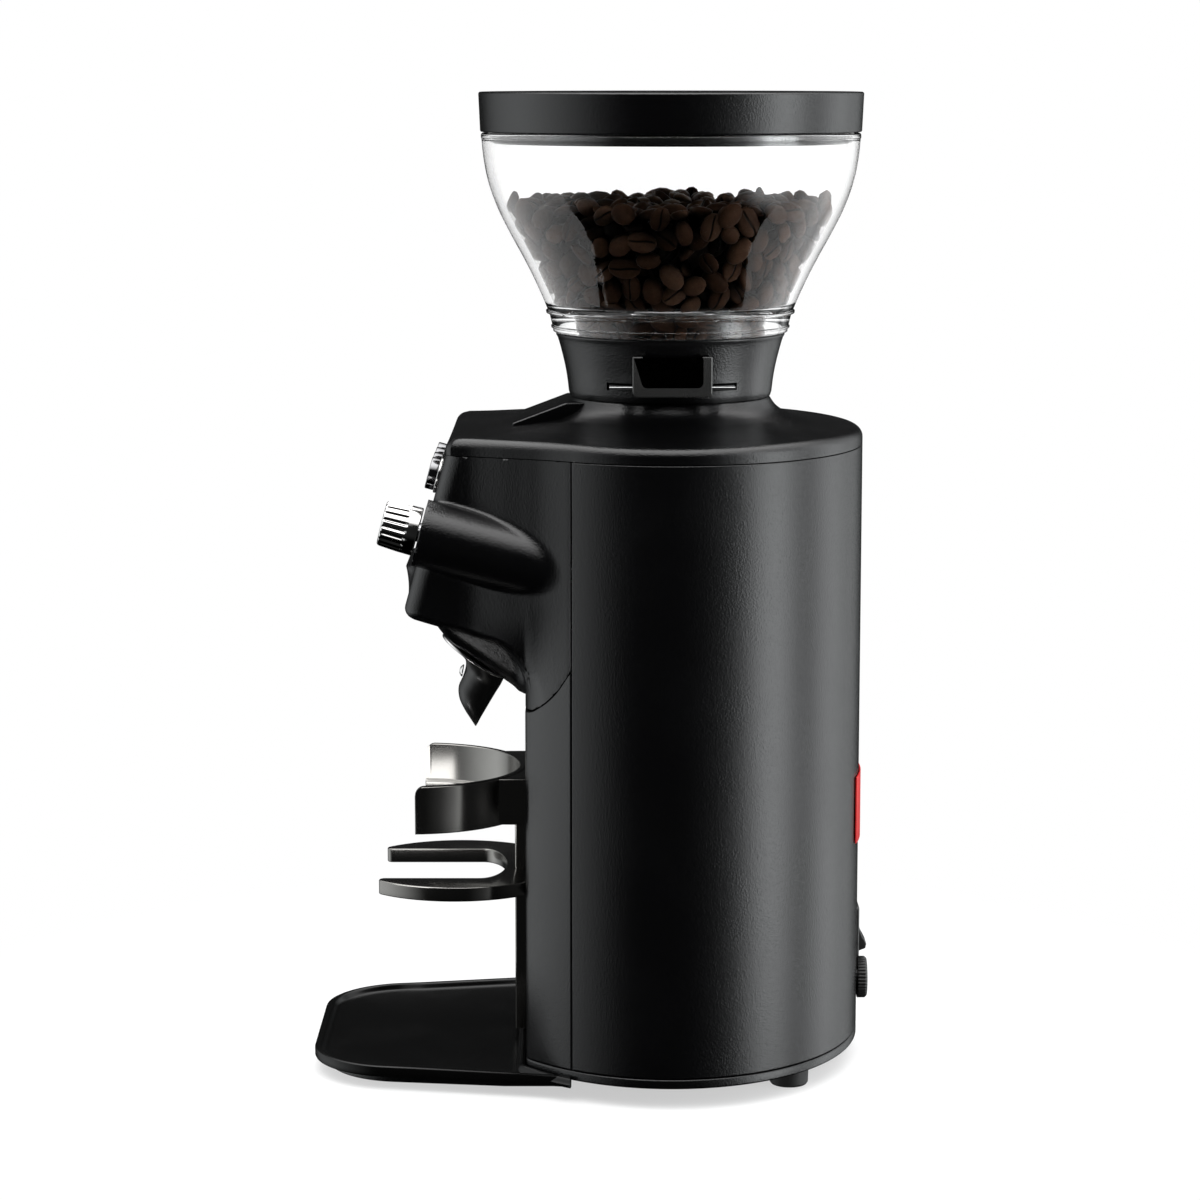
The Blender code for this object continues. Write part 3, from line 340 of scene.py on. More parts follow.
# Each panel stop: degrees round from the camera's side towards the back, share of full light.
PANELS = [(-180, 0.004), (-150, 0.004), (-122, 0.15), (-100, 0.30), (-80, 0.25), (-64, 0.17),
          (-46, 0.06), (-36, 0.004), (14, 0.003), (30, 0.02), (44, 0.09), (54, 0.32), (62, 1.0),
          (72, 0.98), (80, 0.80), (88, 0.22), (96, 0.18), (104, 0.42), (116, 0.46), (126, 0.36),
          (134, 0.06), (142, 0.22), (152, 0.05), (160, 0.004), (180, 0.004)]

scene = bpy.context.scene
scene.view_settings.view_transform = "Standard"
world = bpy.data.worlds.new("studio")
world.use_nodes = True
scene.world = world
tree = world.node_tree
tree.nodes.clear()
ways = tree.nodes.new("ShaderNodeTexCoord")
split = tree.nodes.new("ShaderNodeSeparateXYZ")
tree.links.new(ways.outputs["Generated"], split.inputs[0])
round_way = math_node(tree, "ARCTAN2", split.outputs["Y"], split.outputs["X"])
round_share = math_node(tree, "MULTIPLY_ADD", round_way, 1 / (2 * pi), 0.5)
panels = ramp(tree, [((deg + 180) / 360, (v * 0.96, v * 0.99, v)) for deg, v in PANELS], "LINEAR")
tree.links.new(round_share, panels.inputs[0])
height_share = math_node(tree, "MULTIPLY_ADD", split.outputs["Z"], 0.5, 0.5)
panel_height = ramp(tree, [(0.18, 0.0), (0.34, 1.0), (0.72, 1.0), (0.86, 0.0)], "LINEAR")
tree.links.new(height_share, panel_height.inputs[0])
overhead = ramp(tree, [(0.76, 0.0), (0.85, 0.36), (0.95, 0.76), (1.0, 0.80)], "LINEAR")
tree.links.new(height_share, overhead.inputs[0])


def mix_colour(tree, kind, first, second, share=1.0):
    """A Mix node for colours; first and second are sockets or colours."""
    node = tree.nodes.new("ShaderNodeMix")
    node.data_type, node.blend_type = "RGBA", kind
    for socket, value in ((node.inputs[0], share), (node.inputs[6], first), (node.inputs[7], second)):
        if hasattr(value, "is_output"):
            tree.links.new(value, socket)
        else:
            socket.default_value = value if np.isscalar(value) else (*value, 1)
    return node.outputs[2]


standing = mix_colour(tree, "MULTIPLY", panels.outputs[0], panel_height.outputs[0])
light = mix_colour(tree, "ADD", standing, overhead.outputs[0])
studio = tree.nodes.new("ShaderNodeBackground")
studio.inputs["Strength"].default_value = PANEL_LIGHT
tree.links.new(light, studio.inputs["Color"])
backdrop = tree.nodes.new("ShaderNodeBackground")
backdrop.inputs["Color"].default_value = (1, 1, 1, 1)
path = tree.nodes.new("ShaderNodeLightPath")
onward = math_node(tree, "MAXIMUM", math_node(tree, "LESS_THAN", path.outputs["Glossy Depth"], 0.5),
                   math_node(tree, "LESS_THAN", split.outputs["X"], 0.1))
onward = math_node(tree, "MULTIPLY", path.outputs["Is Transmission Ray"], onward)
seen = math_node(tree, "MAXIMUM", path.outputs["Is Camera Ray"], onward)
seen = math_node(tree, "MULTIPLY", seen, math_node(tree, "LESS_THAN", path.outputs["Diffuse Depth"], 0.5))
through = math_node(tree, "MULTIPLY_ADD", path.outputs["Is Transmission Ray"], 0.17, 1.0)
tree.links.new(through, backdrop.inputs["Strength"])
choose = tree.nodes.new("ShaderNodeMixShader")
tree.links.new(seen, choose.inputs[0])
tree.links.new(studio.outputs[0], choose.inputs[1])
tree.links.new(backdrop.outputs[0], choose.inputs[2])
world_out = tree.nodes.new("ShaderNodeOutputWorld")
tree.links.new(choose.outputs[0], world_out.inputs["Surface"])
print("studio with", len(PANELS), "panel stops")


# %% [markdown]
# ## Floor
# A pale floor carries the grinder and takes a faint soft shadow near it. Further out it fades
# to the backdrop's white, so no horizon cuts the picture. Glossy rays pass it by, or the low
# parts of the housing would mirror it, and the glass would lay a pale veil over the beans.

# %% Lay the floor
floor_mesh = bpy.data.meshes.new("floor")
floor_form = bmesh.new()
bmesh.ops.create_circle(floor_form, cap_ends=True, segments=96, radius=3.0)
floor_form.to_mesh(floor_mesh)
floor_form.free()
floor = bpy.data.objects.new("floor", floor_mesh)
scene.collection.objects.link(floor)
floor.location.z = -0.0004
floor.visible_glossy = floor.visible_transmission = False
floor_finish = bpy.data.materials.new("pale_floor")
floor_finish.use_nodes = True
tree = floor_finish.node_tree
matt = tree.nodes["Principled BSDF"]
matt.inputs["Base Color"].default_value = (0.86, 0.86, 0.86, 1)
matt.inputs["Roughness"].default_value = 0.9
matt.inputs["Specular IOR Level"].default_value = 0.0
glow = tree.nodes.new("ShaderNodeEmission")
where = tree.nodes.new("ShaderNodeTexCoord")
length = tree.nodes.new("ShaderNodeVectorMath")
length.operation = "LENGTH"
tree.links.new(where.outputs["Object"], length.inputs[0])
fade = tree.nodes.new("ShaderNodeMapRange")
fade.interpolation_type = "SMOOTHSTEP"
fade.inputs["From Min"].default_value = 0.06
fade.inputs["From Max"].default_value = 0.34
fade.inputs["To Min"].default_value = 0.55
tree.links.new(length.outputs["Value"], fade.inputs["Value"])
blend = tree.nodes.new("ShaderNodeMixShader")
tree.links.new(fade.outputs[0], blend.inputs[0])
tree.links.new(matt.outputs[0], blend.inputs[1])
tree.links.new(glow.outputs[0], blend.inputs[2])
tree.links.new(blend.outputs[0], tree.nodes["Material Output"].inputs["Surface"])
floor_mesh.materials.append(floor_finish)


# %% [markdown]
# One small white card stands close beside the cradle, just below its rim. It is out of the
# camera's sight, and its light is only for the plated inside of the band across from it.

# %% Stand a card beside the cradle
card_mesh = bpy.data.meshes.new("card")
card_mesh.from_pydata([(0.058, -0.078, 0.087), (0.058, -0.150, 0.087), (0.058, -0.150, 0.113),
                       (0.058, -0.078, 0.113)], [], [(0, 1, 2, 3)])
card = bpy.data.objects.new("card", card_mesh)
scene.collection.objects.link(card)
card.visible_camera = card.visible_shadow = card.visible_diffuse = card.visible_transmission = False
card_finish = bpy.data.materials.new("white_card")
card_finish.use_nodes = True
tree = card_finish.node_tree
tree.nodes.remove(tree.nodes["Principled BSDF"])
bright, clear, side = (tree.nodes.new(kind) for kind in (
    "ShaderNodeEmission", "ShaderNodeBsdfTransparent", "ShaderNodeMixShader"))
bright.inputs["Strength"].default_value = 6.0
tree.links.new(tree.nodes.new("ShaderNodeNewGeometry").outputs["Backfacing"], side.inputs[0])
tree.links.new(bright.outputs[0], side.inputs[1])
tree.links.new(clear.outputs[0], side.inputs[2])
tree.links.new(side.outputs[0], tree.nodes["Material Output"].inputs["Surface"])
card_mesh.materials.append(card_finish)


# %% [markdown]
# ## Effects that several finishes share
# Moulded plastic, steel and rubber all need a fine grain, a slow change of gloss where hands
# have been, and a little dust on top. Each effect is a node group, built once, with its sizes
# as inputs. A group gives only heights and masks, and the shader stays in the material.

# %% Node groups: grain, handling, brushed lines
def node_group(name, inputs, outputs):
    """An empty shader group with named number inputs and outputs, and its end nodes."""
    made = bpy.data.node_groups.new(name, "ShaderNodeTree")
    for label, value in inputs.items():
        socket = made.interface.new_socket(name=label, in_out="INPUT", socket_type="NodeSocketFloat")
        socket.default_value = value
    for label in outputs:
        made.interface.new_socket(name=label, in_out="OUTPUT", socket_type="NodeSocketFloat")
    return made, made.nodes.new("NodeGroupInput"), made.nodes.new("NodeGroupOutput")


def noise(tree, scale, detail=2.0, roughness=0.5, vector=None):
    """A noise node on Object coordinates, with its scale from a socket or a number."""
    node = tree.nodes.new("ShaderNodeTexNoise")
    node.inputs["Detail"].default_value = detail
    node.inputs["Roughness"].default_value = roughness
    if vector is None:
        vector = tree.nodes.new("ShaderNodeTexCoord").outputs["Object"]
    tree.links.new(vector, node.inputs["Vector"])
    if hasattr(scale, "is_output"):
        tree.links.new(scale, node.inputs["Scale"])
    else:
        node.inputs["Scale"].default_value = scale
    return node.outputs["Fac"]


def stretched(tree, scale):
    """Object coordinates scaled along each axis."""
    mapping = tree.nodes.new("ShaderNodeMapping")
    mapping.inputs["Scale"].default_value = scale
    tree.links.new(tree.nodes.new("ShaderNodeTexCoord").outputs["Object"], mapping.inputs["Vector"])
    return mapping.outputs["Vector"]


def soft_step(tree, value, low, high):
    """0 below low and 1 above high, with a smooth change between."""
    node = tree.nodes.new("ShaderNodeMapRange")
    node.interpolation_type = "SMOOTHSTEP"
    tree.links.new(value, node.inputs["Value"])
    node.inputs["From Min"].default_value = low
    node.inputs["From Max"].default_value = high
    return node.outputs[0]


GRAIN, group_in, group_out = node_group("spark_eroded_grain", {"Scale": 900.0, "Coarse": 0.5}, ["Height"])
pebbles = GRAIN.nodes.new("ShaderNodeTexVoronoi")
pebbles.feature = "SMOOTH_F1"
pebbles.inputs["Smoothness"].default_value = 0.6
GRAIN.links.new(GRAIN.nodes.new("ShaderNodeTexCoord").outputs["Object"], pebbles.inputs["Vector"])
GRAIN.links.new(group_in.outputs["Scale"], pebbles.inputs["Scale"])
fine = noise(GRAIN, math_node(GRAIN, "MULTIPLY", group_in.outputs["Scale"], 0.7), 3.0, 0.6)
coarse = math_node(GRAIN, "MULTIPLY", pebbles.outputs["Distance"], group_in.outputs["Coarse"])
GRAIN.links.new(math_node(GRAIN, "ADD", fine, coarse), group_out.inputs["Height"])

HANDLING, group_in, group_out = node_group("handling_and_dust", {"Scale": 18.0}, ["Smudge", "Dust"])
patches = noise(HANDLING, group_in.outputs["Scale"], 4.0, 0.6)
HANDLING.links.new(soft_step(HANDLING, patches, 0.42, 0.68), group_out.inputs["Smudge"])
facing = HANDLING.nodes.new("ShaderNodeSeparateXYZ")
HANDLING.links.new(HANDLING.nodes.new("ShaderNodeNewGeometry").outputs["Normal"], facing.inputs[0])
upward = soft_step(HANDLING, facing.outputs["Z"], 0.55, 0.98)
specks = soft_step(HANDLING, noise(HANDLING, 700.0, 2.0, 0.7), 0.56, 0.74)
HANDLING.links.new(math_node(HANDLING, "MULTIPLY", upward, specks), group_out.inputs["Dust"])

BRUSHED, group_in, group_out = node_group("brushed_lines", {"Along": 30.0, "Across": 3000.0}, ["Height"])
combine = BRUSHED.nodes.new("ShaderNodeCombineXYZ")
for socket, label in zip(combine.inputs, ("Along", "Across", "Across")):
    BRUSHED.links.new(group_in.outputs[label], socket)
scaled = BRUSHED.nodes.new("ShaderNodeVectorMath")
scaled.operation = "MULTIPLY"
BRUSHED.links.new(BRUSHED.nodes.new("ShaderNodeTexCoord").outputs["Object"], scaled.inputs[0])
BRUSHED.links.new(combine.outputs[0], scaled.inputs[1])
BRUSHED.links.new(noise(BRUSHED, 1.0, 3.0, 0.6, scaled.outputs[0]), group_out.inputs["Height"])
print("groups:", [g.name for g in bpy.data.node_groups])


# %% [markdown]
# ## Finishes
# One function builds each finish from a Principled shader: a base colour that shifts a little
# with handling and dust, a roughness that follows the smudges, and a bump from grain or
# brushing. Numbers that are the same all over are set on the shader itself.

# %% A finish from a few numbers
def use_group(tree, group, **values):
    """Put a group in a material with its own values."""
    node = tree.nodes.new("ShaderNodeGroup")
    node.node_tree = group
    for label, value in values.items():
        node.inputs[label].default_value = value
    return node


def new_finish(name, **values):
    """An empty material with numbers set on its Principled shader; gives tree and shader too."""
    made = bpy.data.materials.new(name)
    made.use_nodes = True
    shader = made.node_tree.nodes["Principled BSDF"]
    for label, value in values.items():
        shader.inputs[label.replace("_", " ")].default_value = value
    return made, made.node_tree, shader


def add_bump(tree, shader, height, depth):
    """Feed a height through a Bump node, whose full relief is depth metres, to the normal."""
    bump = tree.nodes.new("ShaderNodeBump")
    bump.inputs["Strength"].default_value = 1.0
    bump.inputs["Distance"].default_value = depth
    tree.links.new(height, bump.inputs["Height"])
    tree.links.new(bump.outputs[0], shader.inputs["Normal"])


def finish(name, colour, roughness, metallic=0.0, grain=None, brushed=None, depth=0.00003, smudge=0.05,
           dust=0.0, specular=0.5):
    """A material: grain is (scale, coarse) and brushed is (along, across) for its bump."""
    made, tree, shader = new_finish(name, Metallic=metallic, Specular_IOR_Level=specular)
    handled = use_group(tree, HANDLING, Scale=22.0)
    lighter = [1.1 * c for c in colour]
    base = mix_colour(tree, "MIX", colour, lighter, handled.outputs["Smudge"])
    if dust:
        base = mix_colour(tree, "MIX", base, (0.30, 0.29, 0.27),
                          math_node(tree, "MULTIPLY", handled.outputs["Dust"], dust))
    tree.links.new(base, shader.inputs["Base Color"])
    gloss = math_node(tree, "MULTIPLY_ADD", handled.outputs["Smudge"], smudge, roughness)
    tree.links.new(gloss, shader.inputs["Roughness"])
    if brushed:
        relief = use_group(tree, BRUSHED, Along=brushed[0], Across=brushed[1])
    else:
        relief = use_group(tree, GRAIN, Scale=grain[0], Coarse=grain[1])
    add_bump(tree, shader, relief.outputs["Height"], depth)
    return made


textured_black = finish("textured_black", (0.0011, 0.0011, 0.0013), 0.19, grain=(1700.0, 0.6), depth=0.000105,
                        dust=0.006)
satin_black = finish("satin_black", (0.0045, 0.0045, 0.0045), 0.30, grain=(2600.0, 0.2), depth=0.000006,
                     dust=0.010)
tray_black = finish("tray_black", (0.0009, 0.0009, 0.0009), 0.20, grain=(2200.0, 0.3), depth=0.000010,
                    dust=0.003, specular=0.22)
soft_black = finish("soft_black", (0.012, 0.012, 0.012), 0.42, grain=(1800.0, 0.4), depth=0.00002)
rubber = finish("black_rubber", (0.010, 0.010, 0.010), 0.62, grain=(1100.0, 0.8), depth=0.00003, dust=0.05)
dark_chrome = finish("dark_chrome", (0.21, 0.205, 0.195), 0.17, 1.0, brushed=(40.0, 2600.0), depth=0.0000012,
                     smudge=0.04)
polished_black = finish("polished_black", (0.20, 0.20, 0.205), 0.07, 1.0, brushed=(30.0, 1800.0),
                        depth=0.0000006, smudge=0.04)
bright_chrome = finish("bright_chrome", (0.66, 0.65, 0.64), 0.06, 1.0, brushed=(30.0, 1800.0),
                       depth=0.0000006, smudge=0.04)
anodised = finish("dark_anodised", (0.10, 0.10, 0.098), 0.26, 0.75, grain=(2600.0, 0.2), depth=0.000006)
steel = finish("brushed_steel", (0.56, 0.56, 0.57), 0.24, 1.0, brushed=(25.0, 1500.0), depth=0.000002)
cast_aluminium = finish("cast_aluminium", (0.60, 0.60, 0.61), 0.42, 1.0, grain=(700.0, 0.8), depth=0.00005)
copper_red = finish("enamelled_wire", (0.45, 0.13, 0.04), 0.30, 1.0, brushed=(2400.0, 60.0), depth=0.00004)
print(len(bpy.data.materials), "finishes so far")


# %% [markdown]
# Some finishes need a pattern of their own. A motor core is a stack of thin stamped sheets, so
# fine lines run round it. A circuit board has tracks under green lacquer. The rear label is a
# plain red plate with faint patches in its ink and no lettering at all.

# %% Sheet stack, circuit board and label
def patterned(name, colour_a, colour_b, mask_of, roughness, metallic=0.0, depth=0.00005):
    """A material whose colour and bump follow one mask, made by mask_of(tree)."""
    made, tree, shader = new_finish(name, Metallic=metallic)
    mask = mask_of(tree)
    handled = use_group(tree, HANDLING, Scale=30.0)
    gloss = math_node(tree, "MULTIPLY_ADD", handled.outputs["Smudge"], 0.08, roughness)
    tree.links.new(gloss, shader.inputs["Roughness"])
    tree.links.new(mix_colour(tree, "MIX", colour_a, colour_b, mask), shader.inputs["Base Color"])
    add_bump(tree, shader, mask, depth)
    return made


def sheet_lines(tree):
    """Even lines across the height: a fine wave along Z, sharpened."""
    wave = tree.nodes.new("ShaderNodeTexWave")
    wave.bands_direction = "Z"
    wave.inputs["Scale"].default_value = 320.0
    wave.inputs["Distortion"].default_value = 0.4
    tree.links.new(tree.nodes.new("ShaderNodeTexCoord").outputs["Object"], wave.inputs["Vector"])
    return soft_step(tree, wave.outputs["Fac"], 0.25, 0.6)


def board_tracks(tree):
    """Copper tracks: the mortar lines of a brick pattern, with a scatter of round pads."""
    bricks = tree.nodes.new("ShaderNodeTexBrick")
    bricks.inputs["Scale"].default_value = 120.0
    bricks.inputs["Mortar Size"].default_value = 0.06
    tree.links.new(stretched(tree, (1.0, 1.0, 0.6)), bricks.inputs["Vector"])
    pads = tree.nodes.new("ShaderNodeTexVoronoi")
    pads.inputs["Scale"].default_value = 260.0
    tree.links.new(tree.nodes.new("ShaderNodeTexCoord").outputs["Object"], pads.inputs["Vector"])
    dots = math_node(tree, "LESS_THAN", pads.outputs["Distance"], 0.22)
    return math_node(tree, "MAXIMUM", bricks.outputs["Fac"], dots)


motor_iron = patterned("sheet_stack", (0.16, 0.16, 0.17), (0.30, 0.30, 0.31), sheet_lines, 0.42, 1.0)
circuit_green = patterned("green_board", (0.012, 0.10, 0.045), (0.06, 0.30, 0.12), board_tracks, 0.30)


def cloudy(tree):
    """Slow patches of ink: a noise with soft edges."""
    return soft_step(tree, noise(tree, 90.0, 4.0, 0.6), 0.35, 0.75)


red_label = patterned("red_label", (0.62, 0.010, 0.012), (0.72, 0.020, 0.018), cloudy, 0.30, depth=0.000008)


# %% [markdown]
# Glass is clear right through, so it gets almost no colour of its own. It only needs the right
# bending of light, a few faint waves, and slight smudges where hands lift it. Roasted beans
# are brown with a thin skin of oil, and the tone differs from bean to bean. A dark line of painted
# shade runs along the crease on the flat side, and beans deep in the heap are painted darker, as
# painted shade. All are drawn from the beans' own attributes, which are set further down.

# %% Glass and roasted beans
glass, tree, shader = new_finish("clear_glass", Base_Color=(1, 1, 1, 1), Transmission_Weight=1.0, IOR=1.49)
handled = use_group(tree, HANDLING, Scale=14.0)
tree.links.new(math_node(tree, "MULTIPLY", handled.outputs["Smudge"], 0.015), shader.inputs["Roughness"])
add_bump(tree, shader, noise(tree, 60.0, 1.0), 0.00004)

beans_finish, tree, shader = new_finish("roasted_beans", Specular_IOR_Level=0.05)
own_place, own_tone, painted_depth_shade = (tree.nodes.new("ShaderNodeAttribute") for _ in range(3))
own_place.attribute_name, own_tone.attribute_name = "bean_place", "bean_tone"
painted_depth_shade.attribute_name = "bean_shade"
parts = tree.nodes.new("ShaderNodeSeparateXYZ")
tree.links.new(own_place.outputs["Vector"], parts.inputs[0])
bend = math_node(tree, "SINE", math_node(tree, "MULTIPLY", parts.outputs["X"], 2.6))
off_line = math_node(tree, "ABSOLUTE", math_node(tree, "MULTIPLY_ADD", bend, 0.10, parts.outputs["Y"]))
flat_side = soft_step(tree, math_node(tree, "MULTIPLY", parts.outputs["Z"], -1.0), 0.05, 0.30)
# the crease mask bumps in a shallow groove, and it also paints the slit's shade as a dark line
crease_groove_and_shade = math_node(tree, "SUBTRACT", 1.0, soft_step(tree, off_line, 0.03, 0.15))
crease_groove_and_shade = math_node(tree, "MULTIPLY", crease_groove_and_shade, flat_side)
tones = ramp(tree, [(0.0, (0.040, 0.019, 0.011)), (0.45, (0.085, 0.042, 0.025)),
                    (0.8, (0.130, 0.070, 0.044)), (1.0, (0.180, 0.105, 0.070))], "LINEAR")
mottled = math_node(tree, "MULTIPLY_ADD", noise(tree, 900.0, 3.0, 0.6), 0.5, -0.25)
tree.links.new(math_node(tree, "ADD", own_tone.outputs["Fac"], mottled), tones.inputs[0])
# painted shade: the crease is drawn nearly black
skin = mix_colour(tree, "MIX", tones.outputs[0], (0.010, 0.005, 0.003), crease_groove_and_shade)
# painted shade: beans deep behind the glass or under the top of the heap are darkened towards near black,
# standing for the shade between them
skin = mix_colour(tree, "MIX", skin, (0.0015, 0.0006, 0.0003), painted_depth_shade.outputs["Fac"])
tree.links.new(skin, shader.inputs["Base Color"])
oily = math_node(tree, "MULTIPLY_ADD", noise(tree, 500.0, 2.0), 0.30, 0.30)
tree.links.new(oily, shader.inputs["Roughness"])
wrinkled = math_node(tree, "MULTIPLY_ADD", noise(tree, 1400.0, 3.0, 0.6), 0.16,
                     math_node(tree, "MULTIPLY", crease_groove_and_shade, -1.0))
add_bump(tree, shader, wrinkled, 0.00035)

# painted shade: a dark brown that stands for the beans deep in the heap, lying in their own shade
painted_shade_bed_finish = finish("bean_bed_painted_shade", (0.016, 0.008, 0.005), 0.6, grain=(160.0, 1.0), depth=0.0006)

SLOT_FINISH = {"textured_black": textured_black, "satin_black": satin_black, "dark_chrome": dark_chrome,
               "bright_chrome": bright_chrome, "clear_glass": glass, "roasted_beans": beans_finish,
               "black_rubber": rubber, "steel": steel, "aluminium": cast_aluminium, "motor_iron": motor_iron,
               "red_label": red_label, "circuit_green": circuit_green}
OWN_FINISH = {"run_capacitor": cast_aluminium, "mains_transformer": copper_red, "drip_tray": tray_black,
              "cooling_fan": soft_black, "feed_throat": soft_black, "grounds_chute": soft_black}
for row in frame["record"]["subparts"]:
    node = row["node"]
    nodes[node].data.materials.clear()
    nodes[node].data.materials.append(OWN_FINISH.get(node, SLOT_FINISH[row["material_slot"]]))


# %% [markdown]
# ## Rear shell
# The shell is a moulded wall that wraps round the back, from one upright seam to the other. Its
# plan is an oval. A wall section is carried along that oval, and the section's corners are
# rolled, because a mould can't make them sharp and a seam is seen by the light on its edges.

# %% Carry a wall section along the oval
def oval_point(angle, inset=0.0):
    """x = (a - inset) cos t, y = (b - inset) sin t."""
    return np.stack([(HALF_WIDTH - inset) * np.cos(angle), (HALF_DEPTH - inset) * np.sin(angle)], -1)


def wall_section(low, high, wall, edge=0.6):
    """Closed section (inset, height) of a wall with rolled outer corners."""
    return rounded([(0, low, edge), (wall, low, 0.3), (wall, high, 0.3), (0, high, edge)], steps=5)


def carried_wall(name, path, section, end_roll=0.6, top_of=None):
    """A wall: a closed section (inset, height) carried along an open path that has the material on
    its left. Near both ends the outside rolls in by r - sqrt(r^2 - (r - d)^2) at distance d."""
    along = np.gradient(path, axis=0)
    along /= np.linalg.norm(along, axis=1)[:, None]
    into = np.stack([-along[:, 1], along[:, 0]], 1)
    steps = np.linalg.norm(np.diff(path, axis=0), axis=1)
    done = np.concatenate([[0], np.cumsum(steps)])
    from_end = np.minimum(done, done[-1] - done)
    left = np.clip(end_roll - from_end, 0, end_roll)
    roll = end_roll - np.sqrt(np.maximum(end_roll ** 2 - left ** 2, 0))
    inset = np.maximum(section[None, :, 0], roll[:, None])
    flat = path[:, None] + into[:, None] * inset[..., None]
    height = np.broadcast_to(section[None, :, 1], inset.shape).copy()
    if top_of is not None:
        low, high = section[:, 1].min(), section[:, 1].max()
        share = (height - low) / (high - low)
        near_top = np.clip((share - 0.5) * 2, 0, 1) > 0.5
        height = np.where(near_top, height - high + top_of(path)[:, None], height)
    points = np.concatenate([flat, height[..., None]], -1)
    return make_mesh(name, points, closed_tube(*points.shape[:2]))


def end_spaced(count, length, edge=0.8, edge_count=6):
    """Distances along a path, closer together inside its two ends."""
    middle = np.linspace(edge, length - edge, count)
    near = np.linspace(0, edge, edge_count)[:-1]
    return np.concatenate([near, middle, length - near[::-1]])


def at_distances(path, wanted):
    along = np.concatenate([[0], np.cumsum(np.linalg.norm(np.diff(path, axis=0), axis=1))])
    return np.stack([np.interp(wanted, along, path[:, 0]), np.interp(wanted, along, path[:, 1])], 1), along[-1]


def resampled(path, count):
    length = np.linalg.norm(np.diff(path, axis=0), axis=1).sum()
    return at_distances(path, end_spaced(count, length))[0]


start = asin(SEAM_Y / HALF_DEPTH)
rear_path = resampled(oval_point(np.linspace(start, pi - start, 2000)), 240)
shell = carried_wall("rear_shell_outer", rear_path, wall_section(shell_low[2], shell_high[2], WALL))


def block(name, low, high):
    """An upright box as a tool for cutting."""
    corners = np.array([(x, y, z) for x in (low[0], high[0]) for y in (low[1], high[1])
                        for z in (low[2], high[2])])
    faces = np.array([(0, 1, 3, 2), (4, 6, 7, 5), (0, 4, 5, 1), (2, 3, 7, 6), (0, 2, 6, 4), (1, 5, 7, 3)])
    return make_mesh(name, corners, [faces])


frame_low, frame_high = span("switch_frame")
opening = block("opening", (frame_low[0] - 0.3, HALF_DEPTH - 12, frame_low[2] - 0.3),
                (frame_high[0] + 0.3, HALF_DEPTH + 12, frame_high[2] + 0.3))
shell = boolean(shell, opening)
gland_low, gland_high = span("gland_body")
gland_z = (gland_low[2] + gland_high[2]) / 2


def along_y(points, z):
    """Turn points made round Z so that Z runs along +Y at a height."""
    return np.stack([points[..., 0], points[..., 2], z - points[..., 1]], -1)


hole_profile = [(0, HALF_DEPTH - 15), (6.6, HALF_DEPTH - 15), (6.6, HALF_DEPTH + 9), (0, HALF_DEPTH + 9)]
hole = make_mesh("hole", along_y(turned_points(hole_profile, 48), gland_z), [grid_faces(4, 48)])
shell = boolean(shell, hole)
place("rear_shell_outer", shell, "housing", textured_black, ["rear_shell"])


# %% [markdown]
# ## Column panel
# Below the head the front is closed by a second moulding, a U in plan. It uses the same wall
# section, but its top edge follows the curved seam under the head, so each place along the path
# has its own height.

# %% Column panel with a curved top
def column_outline(inset=0.0, seam=SEAM_Y - GAP, corner=9.0):
    """Plan of the column: the oval up to the flat front, whose corners have a radius."""
    front_angle = asin((COLUMN_FRONT_Y + inset) / (HALF_DEPTH - inset))
    side = oval_point(np.linspace(asin(seam / (HALF_DEPTH - inset)), front_angle, 12), inset)
    right = rounded([(*p, 0) for p in side[:-1]] + [(*side[-1], corner), (0, COLUMN_FRONT_Y + inset, 0)],
                    closed=False, steps=14)[:-1]
    return np.concatenate([right * (-1, 1), right[::-1]])


SEAM_CURVE = np.array([(-75, 160.2), (-60.7, 160.2), (-55, 163), (-48, 170), (-41.4, 180.3), (-30, 197)])


def seam_height(path):
    """Height of the curved seam at each point of a path, by its depth y."""
    curve = smooth_curve(SEAM_CURVE, 200)
    return np.interp(path[:, 1], curve[:, 0], curve[:, 1]) - GAP / 2


panel_path = resampled(column_outline(), 220)
panel = carried_wall("column_panel_outer", panel_path, wall_section(column_low[2], 160, WALL),
                     top_of=seam_height)
place("column_panel_outer", panel, "housing", textured_black, ["column_panel"])


# %% [markdown]
# ## Hopper: lid, bowl and collar
# These three are turned on a lathe, so each is one profile. The bowl's outside is read from the
# frame's own bowl, and a smooth curve is drawn through it. The glass has a thick foot ring with
# a step, which bends the light into the bright lines at its base.

# %% Profile of a turned frame node
def outer_profile(node):
    """(radius, z) of a turned node's outside, from the frame, top to bottom: at each height the
    largest distance from the axis of the points within 0.06 mm of it."""
    points = np.empty(len(nodes[node].data.vertices) * 3, np.float32)
    nodes[node].data.vertices.foreach_get("co", points)
    points = points.reshape(-1, 3).astype(float) / mm - AXIS
    radius = np.hypot(points[:, 0], points[:, 1])
    heights = np.unique(np.round(points[:, 2], 1))[::-1]
    level = np.abs(points[:, 2] - heights[:, None]) < 0.06
    return np.stack([np.where(level, radius, 0).max(1), heights], 1)


